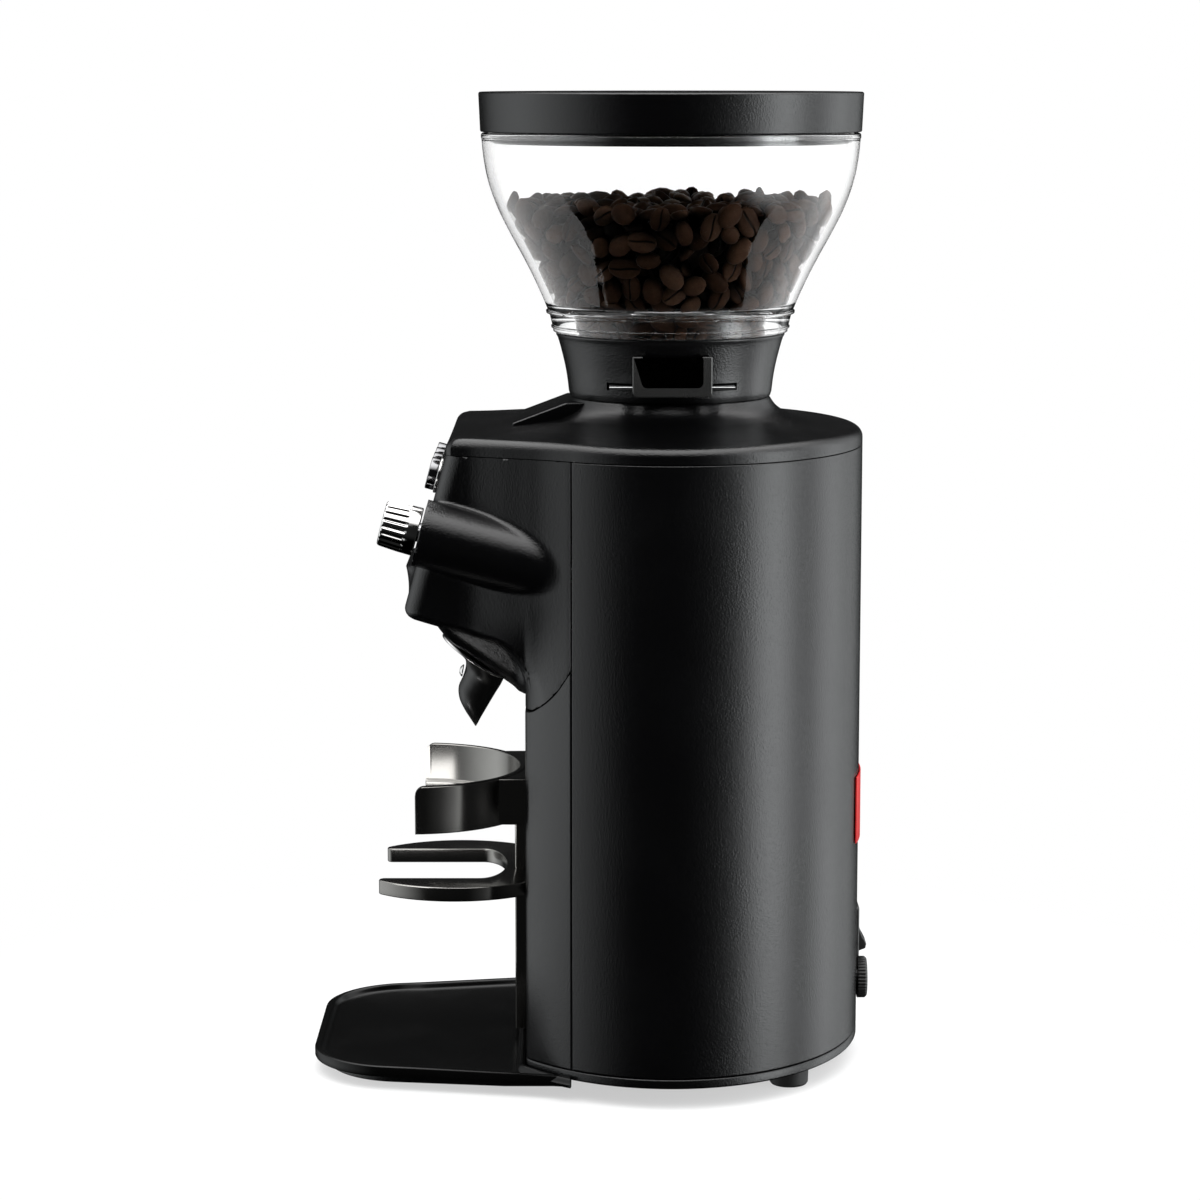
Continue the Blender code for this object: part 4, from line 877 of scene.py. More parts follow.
bowl_outside = smooth_curve(outer_profile("hopper_bowl"), 90)
foot_z, mouth_z = bowl_low[2], bowl_high[2]
GLASS_WALL, FOOT_HEIGHT, FOOT_BORE = 3.0, 9.0, 40.5
wall_z = bowl_outside[:, 1] > foot_z + FOOT_HEIGHT
slope = np.gradient(bowl_outside, axis=0)
slope /= np.linalg.norm(slope, axis=1)[:, None]
inner = bowl_outside + np.stack([slope[:, 1], -slope[:, 0]], 1) * GLASS_WALL
inner = inner[wall_z & (inner[:, 1] < mouth_z - 0.5)]
ledge_z = inner[-1, 1]
rim_r = bowl_outside[0, 0]
rim = rounded([(rim_r - GLASS_WALL, mouth_z - 2, 0), (rim_r - GLASS_WALL, mouth_z, 1.0),
               (rim_r, mouth_z, 1.0), (rim_r, mouth_z - 2, 0)], closed=False)
foot_r = bowl_outside[-1, 0]
foot = rounded([(foot_r, foot_z + 1.6, 0), (foot_r, foot_z, 0.5), (FOOT_BORE, foot_z, 0.5),
                (FOOT_BORE, ledge_z - 0.4, 0.8), (inner[-1, 0] - 1.2, ledge_z - 0.4, 1.0),
                (inner[-1, 0], ledge_z + 0.8, 0)], closed=False)
outside = bowl_outside[(bowl_outside[:, 1] < mouth_z - 2) & (bowl_outside[:, 1] > foot_z + 9.6)]
step_r = np.interp(foot_z + 9.2, bowl_outside[::-1, 1], bowl_outside[::-1, 0])
upper_bead = [(-0.1, 9.4, 0), (0.8, 9.0, 0.35), (0.6, 7.9, 0.35), (-0.7, 7.6, 0.3)]
lower_bead = [(0.4, 2.9, 0.3), (0.9, 2.6, 0.35), (0.8, 1.7, 0.3), (0, 1.65, 0)]
beads = ((step_r, upper_bead), (foot_r, lower_bead))
step = rounded([(base_r + out, foot_z + up, radius) for base_r, bead in beads for out, up, radius in bead],
               closed=False, steps=4)
bowl_profile = np.concatenate([rim, outside, step, foot[1:], inner[::-1][2:]])
bowl = turned("hopper_bowl_glass", bowl_profile, 192)
place("hopper_bowl_glass", bowl, "hopper", glass, ["hopper_bowl"])

lid_low, lid_high = span("hopper_lid")
lid_r, skirt_z = lid_high[0], lid_low[2]
seat_z = mouth_z + 0.4
lid_profile = rounded([(0, lid_high[2], 0), (lid_r - 0.05, lid_high[2], 0.9), (lid_r - 0.8, seat_z, 0.7),
                       (lid_r - 6.3, seat_z, 0.3), (lid_r - 6.3, skirt_z, 0.4), (lid_r - 8.7, skirt_z, 0.4),
                       (lid_r - 8.7, lid_high[2] - 3, 1.0), (0, lid_high[2] - 3, 0)], closed=False)
lid = turned("hopper_lid_cap", lid_profile, 192, closed=False)
place("hopper_lid_cap", lid, "lid", textured_black, ["hopper_lid"])

collar_low, collar_high = span("hopper_collar")
collar_outside = smooth_curve([(48.6, 312), (47.2, 308.4), (45.0, 299.9), (43.8, 293.6), (43.0, 287.2)], 40)
collar_profile = np.concatenate([
    rounded([(44, 312, 0), (collar_high[0], 312, 0.6), (48.3, 311, 0)], closed=False, steps=5),
    collar_outside[6:-1],
    rounded([(43.0, 287.2, 0), (42.4, 285.3, 0.4), (36.8, 285.3, 0), (36.8, 276, 0.5), (24, 276, 0.5),
             (24, 297, 1.0)], closed=False, steps=5)])
collar = turned("hopper_collar_body", collar_profile, 192)
shutter_low, shutter_high = span("shutter_plate")
shutter_z = (shutter_low[2] + shutter_high[2]) / 2
collar = boolean(collar, block("slot", (-29, -27, shutter_z - 1.6), (60, 27, shutter_z + 1.6)))
place("hopper_collar_body", collar, "hopper", textured_black, ["hopper_collar"])


# %% [markdown]
# ## Head
# The head leans out over the cup, swallows the knob's boss and flows into the column below. No
# single grid fits such a shape, so it is made another way: a distance function says for any
# point how far it lies outside the material. Shapes join where the smaller distance wins, and a
# radius is worked in where two meet. A surface is then drawn where the distance is zero: each
# small cell that it crosses gets one point, placed by the slopes of the distance, so that sharp
# seam edges stay sharp.

# %% Distance tools
def both(a, b, radius=0.0):
    """Inside both shapes; the outer edge where they meet is rounded by an arc of the radius."""
    if not np.any(radius):
        return np.maximum(a, b)
    outer = np.hypot(np.maximum(a + radius, 0), np.maximum(b + radius, 0))
    return np.minimum(np.maximum(a, b), -radius) + outer


def either(a, b, radius=0.0):
    """Inside one of the shapes; the inner corner where they meet is filled by an arc."""
    return -both(-a, -b, radius)


def cell_surface(distance, low, high, cell):
    """Points and quads of the surface where distance is 0, one point for each crossed cell."""
    axes = [np.arange(low[k], high[k] + cell, cell) for k in range(3)]
    grid = np.stack(np.meshgrid(*axes, indexing="ij"), -1)
    value = distance(grid.reshape(-1, 3)).reshape(grid.shape[:3])
    shape = np.array(value.shape) - 1
    number = np.arange(shape.prod()).reshape(shape)
    crossings, owners, quads = [], [], []
    for axis in range(3):
        side, up = (axis + 1) % 3, (axis + 2) % 3
        here = value.take(range(value.shape[axis] - 1), axis)
        there = value.take(range(1, value.shape[axis]), axis)
        inner = [slice(None)] * 3
        inner[side], inner[up] = slice(1, -1), slice(1, -1)
        crossed = ((here < 0) != (there < 0))[tuple(inner)]
        at = np.argwhere(crossed)
        at[:, side] += 1
        at[:, up] += 1
        share = here[tuple(at.T)] / (here[tuple(at.T)] - there[tuple(at.T)])
        point = grid[tuple(at.T)].copy()
        point[:, axis] += share * cell
        around = []
        for s, u in ((-1, -1), (0, -1), (0, 0), (-1, 0)):
            place_of = at.copy()
            place_of[:, side] += s
            place_of[:, up] += u
            around.append(number[tuple(place_of.T)])
            crossings.append(point)
            owners.append(around[-1])
        around = np.stack(around, 1)
        entering = here[tuple(at.T)] > 0
        quads.append(np.where(entering[:, None], around, around[:, ::-1]))
    crossings, owners = np.concatenate(crossings), np.concatenate(owners)
    step = 0.02
    slope = np.stack([distance(crossings + step * e) - distance(crossings - step * e) for e in np.eye(3)], 1)
    slope /= np.linalg.norm(slope, axis=1)[:, None] + 1e-12
    used, slot_of = np.unique(owners, return_inverse=True)
    count = np.bincount(slot_of)
    middle = np.stack([np.bincount(slot_of, crossings[:, k]) for k in range(3)], 1) / count[:, None]
    away = crossings - middle[slot_of]
    pull = (slope * away).sum(1)
    left = np.stack([np.stack([np.bincount(slot_of, slope[:, i] * slope[:, j]) for j in range(3)], 1)
                     for i in range(3)], 1)
    right = np.stack([np.bincount(slot_of, slope[:, i] * pull) for i in range(3)], 1)
    shift = np.linalg.solve(left + 0.05 * np.eye(3), right[..., None])[..., 0]
    points = middle + np.clip(shift, -cell, cell)
    lookup = np.zeros(shape.prod(), int)
    lookup[used] = np.arange(len(used))
    return points, lookup[np.concatenate(quads)]


# %% [markdown]
# The head's own surfaces follow its drawing: sides that taper in plan, a front that leans by
# about fifteen degrees, an underside that sweeps down to the column, a throat whose sloped face
# takes the spout, and a round boss along the knob's spindle. The wall is 2.5 mm thick.

# %% The head's distance function
TILT = radians(15.3)
HEAD_TOP, HEAD_TOP_FRONT = shell_high[2], -93.2
SIDE_CURVE = np.array([(-130, 54.8), (-110, 57.4), (-93, 59.9), (-86, 61.1), (-80, 62.9), (-69, 67.7),
                       (-60, 71.5), (-52, 75.2), (-41.4, 81.55), (-30, 89.0)])
UNDERSIDE = np.array([(-130, 203.2), (-107.4, 197.2), (-93.9, 193.6), (-86.5, 192.0), (-75.9, 188.8),
                      (-68.7, 186.2), (-60, 181.8), (-50, 175.0), (-30, 160.0)])
KNOB_TURN = radians(75)
KNOB_FACE = np.array((63.1, -103.5, 234.6))
KNOB_AXIS = np.array((0, -sin(KNOB_TURN), cos(KNOB_TURN)))
SPOUT_SEAT, SPOUT_SLOPE = np.array((0, -83.3, 173.6)), radians(34.9)
SPOUT_AXIS = np.array((0, -sin(SPOUT_SLOPE), -cos(SPOUT_SLOPE)))


def table(curve, count=400):
    """A smooth curve and its slope as arrays to look up by the first value."""
    fine = smooth_curve(curve, count)
    return fine[:, 0], fine[:, 1], np.gradient(fine[:, 1], fine[:, 0])


SIDE_Y, SIDE_X, SIDE_SLOPE = table(SIDE_CURVE)
UNDER_Y, UNDER_Z, UNDER_SLOPE = table(UNDERSIDE)
SEAM_TABLE = table(SEAM_CURVE)
column_y = np.linspace(COLUMN_FRONT_Y, -30, 200)
COLUMN_X = HALF_WIDTH * np.sqrt(1 - (column_y / HALF_DEPTH) ** 2)


def head_outside(p):
    """Distance outside the closed head, before the seams are cut. The width is the head's own
    high up and goes over to the oval's at the seam; in side view an arc of 13 mm fills the
    corner between underside and column."""
    x, y, z = np.abs(p[:, 0]), p[:, 1], p[:, 2]
    wide = np.interp(y, SIDE_Y, SIDE_X)
    narrow = np.minimum(np.interp(y, column_y, COLUMN_X), wide)
    share = np.clip((z - np.interp(y, SEAM_TABLE[0], SEAM_TABLE[1]) - 2) / 42, 0, 1)
    half = narrow + (wide - narrow) * share * share * (3 - 2 * share)
    side = (x - half) / np.hypot(1, np.interp(y, SIDE_Y, SIDE_SLOPE))
    front = (HEAD_TOP_FRONT - (HEAD_TOP - z) * tan(TILT) - y) * cos(TILT)
    under = (np.interp(y, UNDER_Y, UNDER_Z) - z) / np.hypot(1, np.interp(y, UNDER_Y, UNDER_SLOPE))
    below = either(under, COLUMN_FRONT_Y - y, 13.0)
    corner = 4.5 + 4.5 * np.clip((z - 160) / -14 + 2.2, 0, 1)
    hood = both(both(side, front, 7.0), below, corner)
    face = (p - SPOUT_SEAT) @ SPOUT_AXIS
    width = (x - 20.5 + 0.55 * face) * 0.87
    nose = (-97.5 - y) * 0.923 + (183.4 - z) * 0.385
    throat = both(both(face, width, 7.0), both(nose, z - 215, 0), 5.0)
    body = either(hood, throat, 7.0)
    arm = p - KNOB_FACE
    along = arm @ KNOB_AXIS
    reach = np.linalg.norm(arm - along[:, None] * KNOB_AXIS, axis=1)
    boss = both(both(reach - 14.0, along, 0.5), -along - 68)
    return either(body, boss, 1.9)


def head_wall(p):
    """Distance outside the moulded wall, with its seams, the spindle's bore and the throat's."""
    y, z = p[:, 1], p[:, 2]
    outside = head_outside(p)
    wall = both(outside, -(outside + WALL))
    seam_y, seam_z, seam_slope = SEAM_TABLE
    below = (np.interp(y, seam_y, seam_z) + GAP / 2 - z) / np.hypot(1, np.interp(y, seam_y, seam_slope))
    wall = both(wall, both(below, both(y - (SEAM_Y - GAP), z - HEAD_TOP, 0.4), 0.3), 0.4)
    arm = p - KNOB_FACE
    reach = np.linalg.norm(arm - (arm @ KNOB_AXIS)[:, None] * KNOB_AXIS, axis=1)
    down = p - SPOUT_SEAT
    depth = down @ SPOUT_AXIS
    round_spout = np.linalg.norm(down - depth[:, None] * SPOUT_AXIS, axis=1)
    bore = both(round_spout - 9.5, -depth - 14)
    return both(wall, -either(reach - 6.5, bore))


head_low, head_high = span("head_cover")
HEAD_CELL = 1.12
points, quads = cell_surface(head_wall, head_low - 3.1, head_high + 3.3, HEAD_CELL)
points[:, 2] = np.minimum(points[:, 2], HEAD_TOP)
head = make_mesh("head_cover_outer", points, [quads], 50)
place("head_cover_outer", head, "housing", textured_black, ["head_cover"])
print("head box", [round(float(v), 1) for v in (*points.min(0), *points.max(0))])


# %% [markdown]
# ## Top cover
# The cover's plan is the whole housing: the oval behind and the head in front. Its surface is
# a grid of rays and rings. Each ray starts on that plan, rolls over the edge, rises in a gentle
# crown and turns up into the round neck under the hopper. A small wedge in front leads up to
# the neck, with fine bevels that draw its bright outline.

# %% Rays and rings of the cover
def plan_radius(angles, outline):
    """Distance from the axis to an outline along each angle, read between its points."""
    bearing = np.unwrap(np.arctan2(outline[:, 1], outline[:, 0]))
    order = np.argsort(bearing)
    reach = np.hypot(outline[:, 0], outline[:, 1])
    return np.interp(angles, bearing[order], reach[order], period=2 * pi)


side_y = np.linspace(SEAM_Y, HEAD_TOP_FRONT, 60)
head_side = np.stack([np.interp(side_y, SIDE_Y, SIDE_X), side_y], 1)
front_corner = rounded([(*p, 0) for p in head_side[:-1]] + [(*head_side[-1], 7), (0, HEAD_TOP_FRONT, 0)],
                       closed=False, steps=16)
rear_plan = oval_point(np.linspace(start, pi - start, 300))
cover_plan = np.concatenate([rear_plan[:-1], front_corner * (-1, 1), front_corner[::-1][1:]])
cover_plan = spread(cover_plan, 1400, closed=True)
cover_low, cover_high = span("top_cover")
RAYS = 420
ray = np.arange(RAYS) * 2 * pi / RAYS
edge_r = plan_radius(ray, cover_plan)
neck_z, rim_z = cover_high[2], 272.7
NECK_R, NECK_BORE = 42.4, 38.0
roll = np.linspace(0, pi / 2, 9)
leaning = np.clip(-np.sin(ray) - 0.72, 0, 0.28) / 0.28
crown = np.linspace(0, 1, 16)[1:]
crown_r, crown_z = 52.0, 277.0
ROLL_R, ROLL_Z, LEAN = 4.6, 4.4, 1.6
rings = [(edge_r, cover_low[2]), (edge_r, 266.4)]
rings += [(edge_r - ROLL_R * (1 - cos(t)) - leaning * LEAN * sin(t), rim_z - ROLL_Z + ROLL_Z * sin(t))
          for t in roll]
inner_r = edge_r - ROLL_R - leaning * LEAN
rings += [(inner_r + (crown_r - inner_r) * t, rim_z + (crown_z - rim_z) * t * t * (1.25 - 0.25 * t))
          for t in crown]
fillet = smooth_curve([(crown_r, crown_z), (48.0, 278.7), (45.0, 280.9), (43.2, 283.2),
                       (NECK_R + 0.1, neck_z - 0.7)], 14)
rings += [*fillet[1:], (NECK_R - 0.5, neck_z), (NECK_BORE + 0.4, neck_z), (NECK_BORE, neck_z - 0.4),
          (NECK_BORE, 275.0), (60.0, 272.6)]
rings += [(edge_r - 7, 269.8), (edge_r - WALL, 267.6), (edge_r - WALL, cover_low[2])]
cover_points = np.array([np.stack([r * np.cos(ray), r * np.sin(ray), np.full(RAYS, z)], 1) for r, z in rings])
cover = make_mesh("top_cover_outer", cover_points, [grid_faces(len(rings), RAYS, close_rows=True)], 40)

wedge_side = rounded([(-66.2, 271.6, 0), (-66.6, 275.3, 0.9), (-43.8, 283.9, 3.0), (-36, 283.9, 0),
                      (-36, 271.6, 0)])


def sideways(half_width):
    """Turn plate points (y, z, x) into (x, y, z), centred on the middle plane."""
    return lambda p: np.stack([p[:, 2] - half_width, p[:, 0], p[:, 1]], 1)


WEDGE_HALF = 23.0
wedge = cut_plate("wedge", anticlockwise(wedge_side), 0, 2 * WEDGE_HALF, 0.7, sideways(WEDGE_HALF))
cover = boolean(cover, wedge, "UNION", 40)
bore = make_mesh("bore", turned_points([(0, 268), (NECK_BORE, 268), (NECK_BORE, 290), (0, 290)], 160),
                 [grid_faces(4, 160)])
cover = boolean(cover, bore, "DIFFERENCE", 40)
place("top_cover_outer", cover, "housing", textured_black, ["top_cover"])


# %% [markdown]
# ## Grind knob
# The knob is a plated grip whose flutes catch a finger. Round it, the radius dips at every
# flute, and along it the dips fade in and out, so the surface is one grid of angle and length.

# %% Fluted knob
def turned_to(points, origin, turn):
    """Turn points about X by an angle and move them to an origin."""
    x, y, z = points[..., 0], points[..., 1], points[..., 2]
    moved = np.stack([x, y * cos(turn) - z * sin(turn), y * sin(turn) + z * cos(turn)], -1)
    return moved + np.asarray(origin)


FLUTES, AROUND = 20, 320
profile = np.concatenate([
    rounded([(4.3, 11, 0), (4.3, 0.8, 0.2), (10.1, 0.8, 0.4), (10.0, 5.0, 0)], closed=False, steps=4),
    smooth_curve([(10.0, 5.2), (9.95, 7), (9.7, 11), (9.5, 14.0)], 22),
    rounded([(9.45, 14.4, 0), (9.3, 16.0, 1.3), (3, 16.0, 0)], closed=False, steps=7)[1:],
    [(0, 15.8)]])
length_share = np.clip((profile[:, 1] - 5.0) / 1.4, 0, 1) * np.clip((15.9 - profile[:, 1]) / 1.2, 0, 1)
length_share = np.where(profile[:, 0] > 7.5, length_share, 0)
angle = np.arange(AROUND) * 2 * pi / AROUND
dip = np.clip((np.cos(angle * FLUTES) + 0.15) / 1.15, 0, 1) ** 0.8
radius = profile[:, :1] - 0.75 * length_share[:, None] * dip
knob_points = around_axis(radius, profile[:, 1:], AROUND)
knob_faces = [grid_faces(len(profile), AROUND), ngon(0, AROUND)[:, ::-1]]
knob = make_mesh("grind_knob_fluted", turned_to(knob_points, KNOB_FACE, KNOB_TURN), knob_faces, 45)
place("grind_knob_fluted", knob, "knob", bright_chrome, ["grind_knob"])


# %% [markdown]
# ## Buttons
# Four round push buttons stand in a pill-shaped bezel on the leaning front. The bezel is a cut
# plate with rolled edges and four bored holes. Each button is a turned cap with a dished top.

# %% Bezel and buttons
BUTTON_Z, BUTTON_STEP, BUTTON_R = 254.0, 19.0, 7.1
face_y = HEAD_TOP_FRONT - (HEAD_TOP - BUTTON_Z) * tan(TILT)
face_turn = pi / 2 - TILT
face_out = np.array((0, -cos(TILT), sin(TILT)))
pill_r, pill_x = 7.6, 1.5 * BUTTON_STEP + BUTTON_R + 1.2 - 7.6
quarter = np.linspace(-pi / 2, pi / 2, 28)
pill = np.stack([pill_x + pill_r * np.cos(quarter), pill_r * np.sin(quarter)], 1)
pill = np.concatenate([pill, pill[::-1] * (-1, 1)])
button_x = (np.arange(4) - 1.5) * BUTTON_STEP


def on_face(lift):
    """Move plate points onto the leaning front, lifted off it by a distance."""
    return lambda p: turned_to(p, np.array((0, face_y, BUTTON_Z)) + face_out * lift, face_turn)


bezel = cut_plate("button_bezel", anticlockwise(pill), 0, 1.2, 0.35, on_face(GAP))
for x in button_x:
    drill = turned_points([(0, -3), (BUTTON_R + 0.1, -3), (BUTTON_R + 0.1, 5), (0, 5)], 64) + (x, 0, 0)
    bezel = boolean(bezel, make_mesh("drill", on_face(0)(drill.reshape(-1, 3)), [grid_faces(4, 64)]))
place("button_bezel", bezel, "housing", bright_chrome, ["button_plate"])

cap_r = BUTTON_R - 0.3
cap_profile = np.concatenate([
    rounded([(0, 0, 0), (cap_r, 0, 0.2), (cap_r, 3.7, 0.5), (cap_r - 1.2, 3.7, 0.4), (cap_r - 1.5, 3.35, 0.3)],
            closed=False, steps=4),
    smooth_curve([(cap_r - 1.8, 3.35), (3.4, 3.1), (1.5, 3.0), (0, 3.0)], 10)])
for number, x in enumerate(button_x, 1):
    points = on_face(1.6)((turned_points(cap_profile, 72) + (x, 0, 0)).reshape(-1, 3))
    cap = make_mesh(f"button_cap_{number}", points, [grid_faces(len(cap_profile), 72)])
    place(f"button_cap_{number}", cap, f"button_{number}", polished_black, [f"button_{number}"])


# %% [markdown]
# ## Spout
# The spout hangs from a plated ring on the sloped face. Its chute narrows to a pointed lip: in
# side view a front curve and a straight back line, and between them an oval section at each
# level. The walls are two such surfaces, one inside the other, joined at both ends.

# %% Ring, chute and stud
seat_turn = -SPOUT_SLOPE
ring_profile = rounded([(16.3, -0.5, 0.3), (16.3, -1.7, 0.5), (9.5, -1.7, 0.5), (9.5, -0.5, 0.3)], steps=5)
ring_points = turned_to(turned_points(ring_profile, 96), SPOUT_SEAT, seat_turn)
ring = make_mesh("spout_flange", ring_points, [grid_faces(len(ring_profile), 96, close_rows=True)])
place("spout_flange", ring, "housing", bright_chrome, ["spout_ring"])

FRONT_LINE = smooth_curve([(-95.6, 180.0), (-91.0, 176.0), (-88.2, 172.6), (-87.4, 169.0), (-88.6, 164.2),
                           (-90.6, 159.5), (-90.4, 154.6), (-88.4, 150.0), (-86.0, 146.0), (-83.8, 142.4)], 46)
BACK_LINE = smooth_curve([(-71.2, 162.9), (-72.4, 160.4), (-74.4, 157.2), (-76.2, 154.2), (-77.4, 152.2),
                          (-78.8, 149.8), (-80.2, 147.4), (-81.4, 145.3), (-82.3, 143.6), (-83.2, 142.0)], 46)
HALF_WIDTHS = smooth_curve([(0, 14.6), (1, 12.6), (2, 10.6), (3, 9.8), (4, 9.4), (5, 9.0), (6, 8.2),
                            (7, 6.4), (8, 4.2), (9, 1.2)], 46)[:, 1]


def chute_rings(scale, around=56):
    """Ovals between the front and the back line, scaled about their own middles."""
    turn = np.arange(around) * 2 * pi / around
    middle, half = (FRONT_LINE + BACK_LINE) / 2, (FRONT_LINE - BACK_LINE) / 2 * scale[:, None]
    side = (HALF_WIDTHS * scale)[:, None] * np.sin(turn)
    depth = middle[:, None] + half[:, None] * np.cos(turn)[None, :, None]
    return np.concatenate([side[..., None], depth], -1)


outer = chute_rings(np.ones(46))
inner_scale = 1 - 1.3 / np.maximum(HALF_WIDTHS, 2.2)
inner_rings = chute_rings(inner_scale)[::-1]
chute_points = np.concatenate([outer, inner_rings])
chute = make_mesh("spout_chute", chute_points, [grid_faces(*chute_points.shape[:2], close_rows=True)], 50)
place("spout_chute", chute, "housing", satin_black, ["spout"])

stud_profile = rounded([(0, 0, 0), (2.6, 0, 0.1), (2.6, 0.5, 0.4), (1.2, 1.55, 0.8), (0, 1.6, 0)], closed=False)
stud_points = turned_to(turned_points(stud_profile, 40), (0, -88.6, 166.2), radians(80))
stud = make_mesh("spout_screw_cap", stud_points, [grid_faces(len(stud_profile), 40)])
place("spout_screw_cap", stud, "housing", bright_chrome, ["spout_stud"])


# %% [markdown]
# ## Cradle, fork and rail
# The cradle is a plated band that holds the rim of the portafilter, with rounded upper corners
# at its mouth and a small ledge inside. The band is a grid of angle and wall section; near its
# ends the section's top comes down along a quarter circle. The fork slides on the rail below.

# %% Cradle band and its back block
CRADLE_R, CRADLE_WALL = 48.4, 3.1
cradle_low, cradle_high = span("portafilter_cradle")
cradle_y = COLUMN_FRONT_Y - 0.6 - CRADLE_R
begin = asin((-107.3 - cradle_y) / CRADLE_R)
turns = begin + end_spaced(150, (pi - 2 * begin) * CRADLE_R, 5.0, 16) / CRADLE_R
z0, z1 = cradle_low[2], cradle_high[2]
band = rounded([(CRADLE_R, z0, 0.5), (CRADLE_R, z1, 0.7), (CRADLE_R - CRADLE_WALL, z1, 0.7),
                (CRADLE_R - CRADLE_WALL, z0 + 4.6, 0.3), (CRADLE_R - CRADLE_WALL - 1.6, z0 + 3.6, 0.4),
                (CRADLE_R - CRADLE_WALL - 1.6, z0, 0.4)], steps=4)
from_end = np.minimum(turns - turns[0], turns[-1] - turns) * CRADLE_R
CORNER = 4.6
drop = CORNER - np.sqrt(np.maximum(CORNER ** 2 - np.clip(CORNER - from_end, 0, CORNER) ** 2, 0))
height = np.minimum(band[None, :, 1], z1 - drop[:, None])
edge_in = 0.5 - np.sqrt(np.maximum(0.25 - np.clip(0.5 - from_end, 0, 0.5) ** 2, 0))
reach = np.clip(band[None, :, 0], CRADLE_R - CRADLE_WALL - 1.6 + edge_in[:, None], CRADLE_R - edge_in[:, None])
band_points = np.stack([reach * np.cos(turns)[:, None], cradle_y + reach * np.sin(turns)[:, None], height], -1)
cradle = make_mesh("cradle_band", band_points, closed_tube(*band_points.shape[:2]), 40)
block_plan = rounded([(-31, -74.5, 1.2), (31, -74.5, 1.2), (31, COLUMN_FRONT_Y - GAP, 0),
                      (-31, COLUMN_FRONT_Y - GAP, 0)])
back_block = cut_plate("back_block", anticlockwise(block_plan), z0 + 0.4, z1 - 0.4, 0.4)
core_r = CRADLE_R - 1.2
core = turned_points([(0, z0 - 20), (core_r, z0 - 20), (core_r, z1 + 20), (0, z1 + 20)], 192)
back_block = boolean(back_block, make_mesh("core", core + (0, cradle_y, 0), [grid_faces(4, 192)]))
cradle = boolean(cradle, back_block, "UNION", 40)
place("portafilter_cradle_band", cradle, "housing", dark_chrome, ["portafilter_cradle"])

# %% Fork and rail
fork_low, fork_high = span("portafilter_fork")
FORK_R, fork_y, tip_y, slot_x = 45.5, -91.1, fork_low[1], 27.3
rear_y, bend_y, apex_y = COLUMN_FRONT_Y - 0.5, -81.2, -70.2
rail_low, rail_high = span("rail")
rail_x, rail_front = rail_high[0], rail_low[1]
turn = np.linspace(asin((tip_y - fork_y) / FORK_R), asin((rear_y - fork_y) / FORK_R), 60)
side = np.stack([FORK_R * np.cos(turn), fork_y + FORK_R * np.sin(turn)], 1)
inside = [(0, apex_y, 0)] + [(slot_x * sin(t), bend_y + (apex_y - bend_y) * cos(t), 0)
                             for t in np.linspace(0.1, pi / 2, 20)]
half = rounded(inside + [(slot_x, tip_y, 2.6), (*side[0], 2.6)] + [(*p, 0) for p in side[1:-1]]
               + [(*side[-1], 0.8), (rail_x + GAP, rear_y, 0), (rail_x + GAP, rail_front - GAP, 0)],
               closed=False, steps=8)
fork_plan = np.concatenate([half, (half * (-1, 1))[::-1][:-1]])
fork = cut_plate("fork_plate", anticlockwise(fork_plan), fork_low[2], fork_high[2], 0.5)
place("fork_plate", fork, "fork", dark_chrome, ["portafilter_fork"])

rail_plan = rounded([(-rail_x, rail_front, 0.8), (rail_x, rail_front, 0.8), (rail_x, rail_high[1], 0),
                     (-rail_x, rail_high[1], 0)])
rail = cut_plate("rail_bar", anticlockwise(rail_plan), rail_low[2], rail_high[2], 0.4)
place("rail_bar", rail, "housing", dark_chrome, ["rail"])


# %% [markdown]
# ## Tray and its support
# The tray is a shallow dish whose wings run back along the column. It is made as rings: the same
# plan is repeated ever further in, down the rim, over the lip and across the floor, so the
# dished edge is a smooth curve. The support under it is a plate that stands on two feet.

# %% Dished tray
tray_low, tray_high = span("drip_tray")
TRAY_FRONT = tray_low[1]
seam_x = tray_high[0]
tray_bottom, tray_top = tray_low[2], tray_high[2]


def tray_plan(inset, back, notch_inset, count=360):
    """Plan of the tray at an inset: its rounded front, its wings, and the notch round the column."""
    right = rounded([(seam_x - inset, back, 0), (68.5 - inset, -110, 30),
                     (61.5, TRAY_FRONT + inset, 37 - inset), (0, TRAY_FRONT + inset, 0)],
                    closed=False, steps=20)[:-1]
    outer_edge = np.concatenate([right * (-1, 1), right[::-1]])[::-1]
    notch = column_outline(-notch_inset, seam=back + 0.1)
    return np.concatenate([spread(outer_edge, count), spread(notch, count)])


def tray_ring(inset, z, notch=None):
    plan = tray_plan(inset, SEAM_Y - GAP - min(inset, 1.0) * 0.6, 0.4 + (inset if notch is None else notch))
    return np.concatenate([plan, np.full((len(plan), 1), z)], 1)


DISH, FLOOR = 4.2, 7.4
tray_rings = [tray_ring(0.8, tray_bottom), tray_ring(0.25, tray_bottom + 0.25), tray_ring(0, tray_bottom + 0.8),
              tray_ring(0, tray_top - 0.9), tray_ring(0.25, tray_top - 0.3), tray_ring(0.9, tray_top)]
for t in np.linspace(0, 1, 9):
    drop = (1 - cos(pi * t)) / 2
    tray_rings.append(tray_ring(2.2 + (DISH - 2.2 + 1.6) * t, tray_top - (tray_top - FLOOR) * drop,
                                1.6 + 2.4 * t))
tray_rings = np.array(tray_rings)
tray = make_mesh("tray_dish", tray_rings, closed_tube(*tray_rings.shape[:2]), 40)
place("tray_dish", tray, "tray", tray_black, ["drip_tray"])

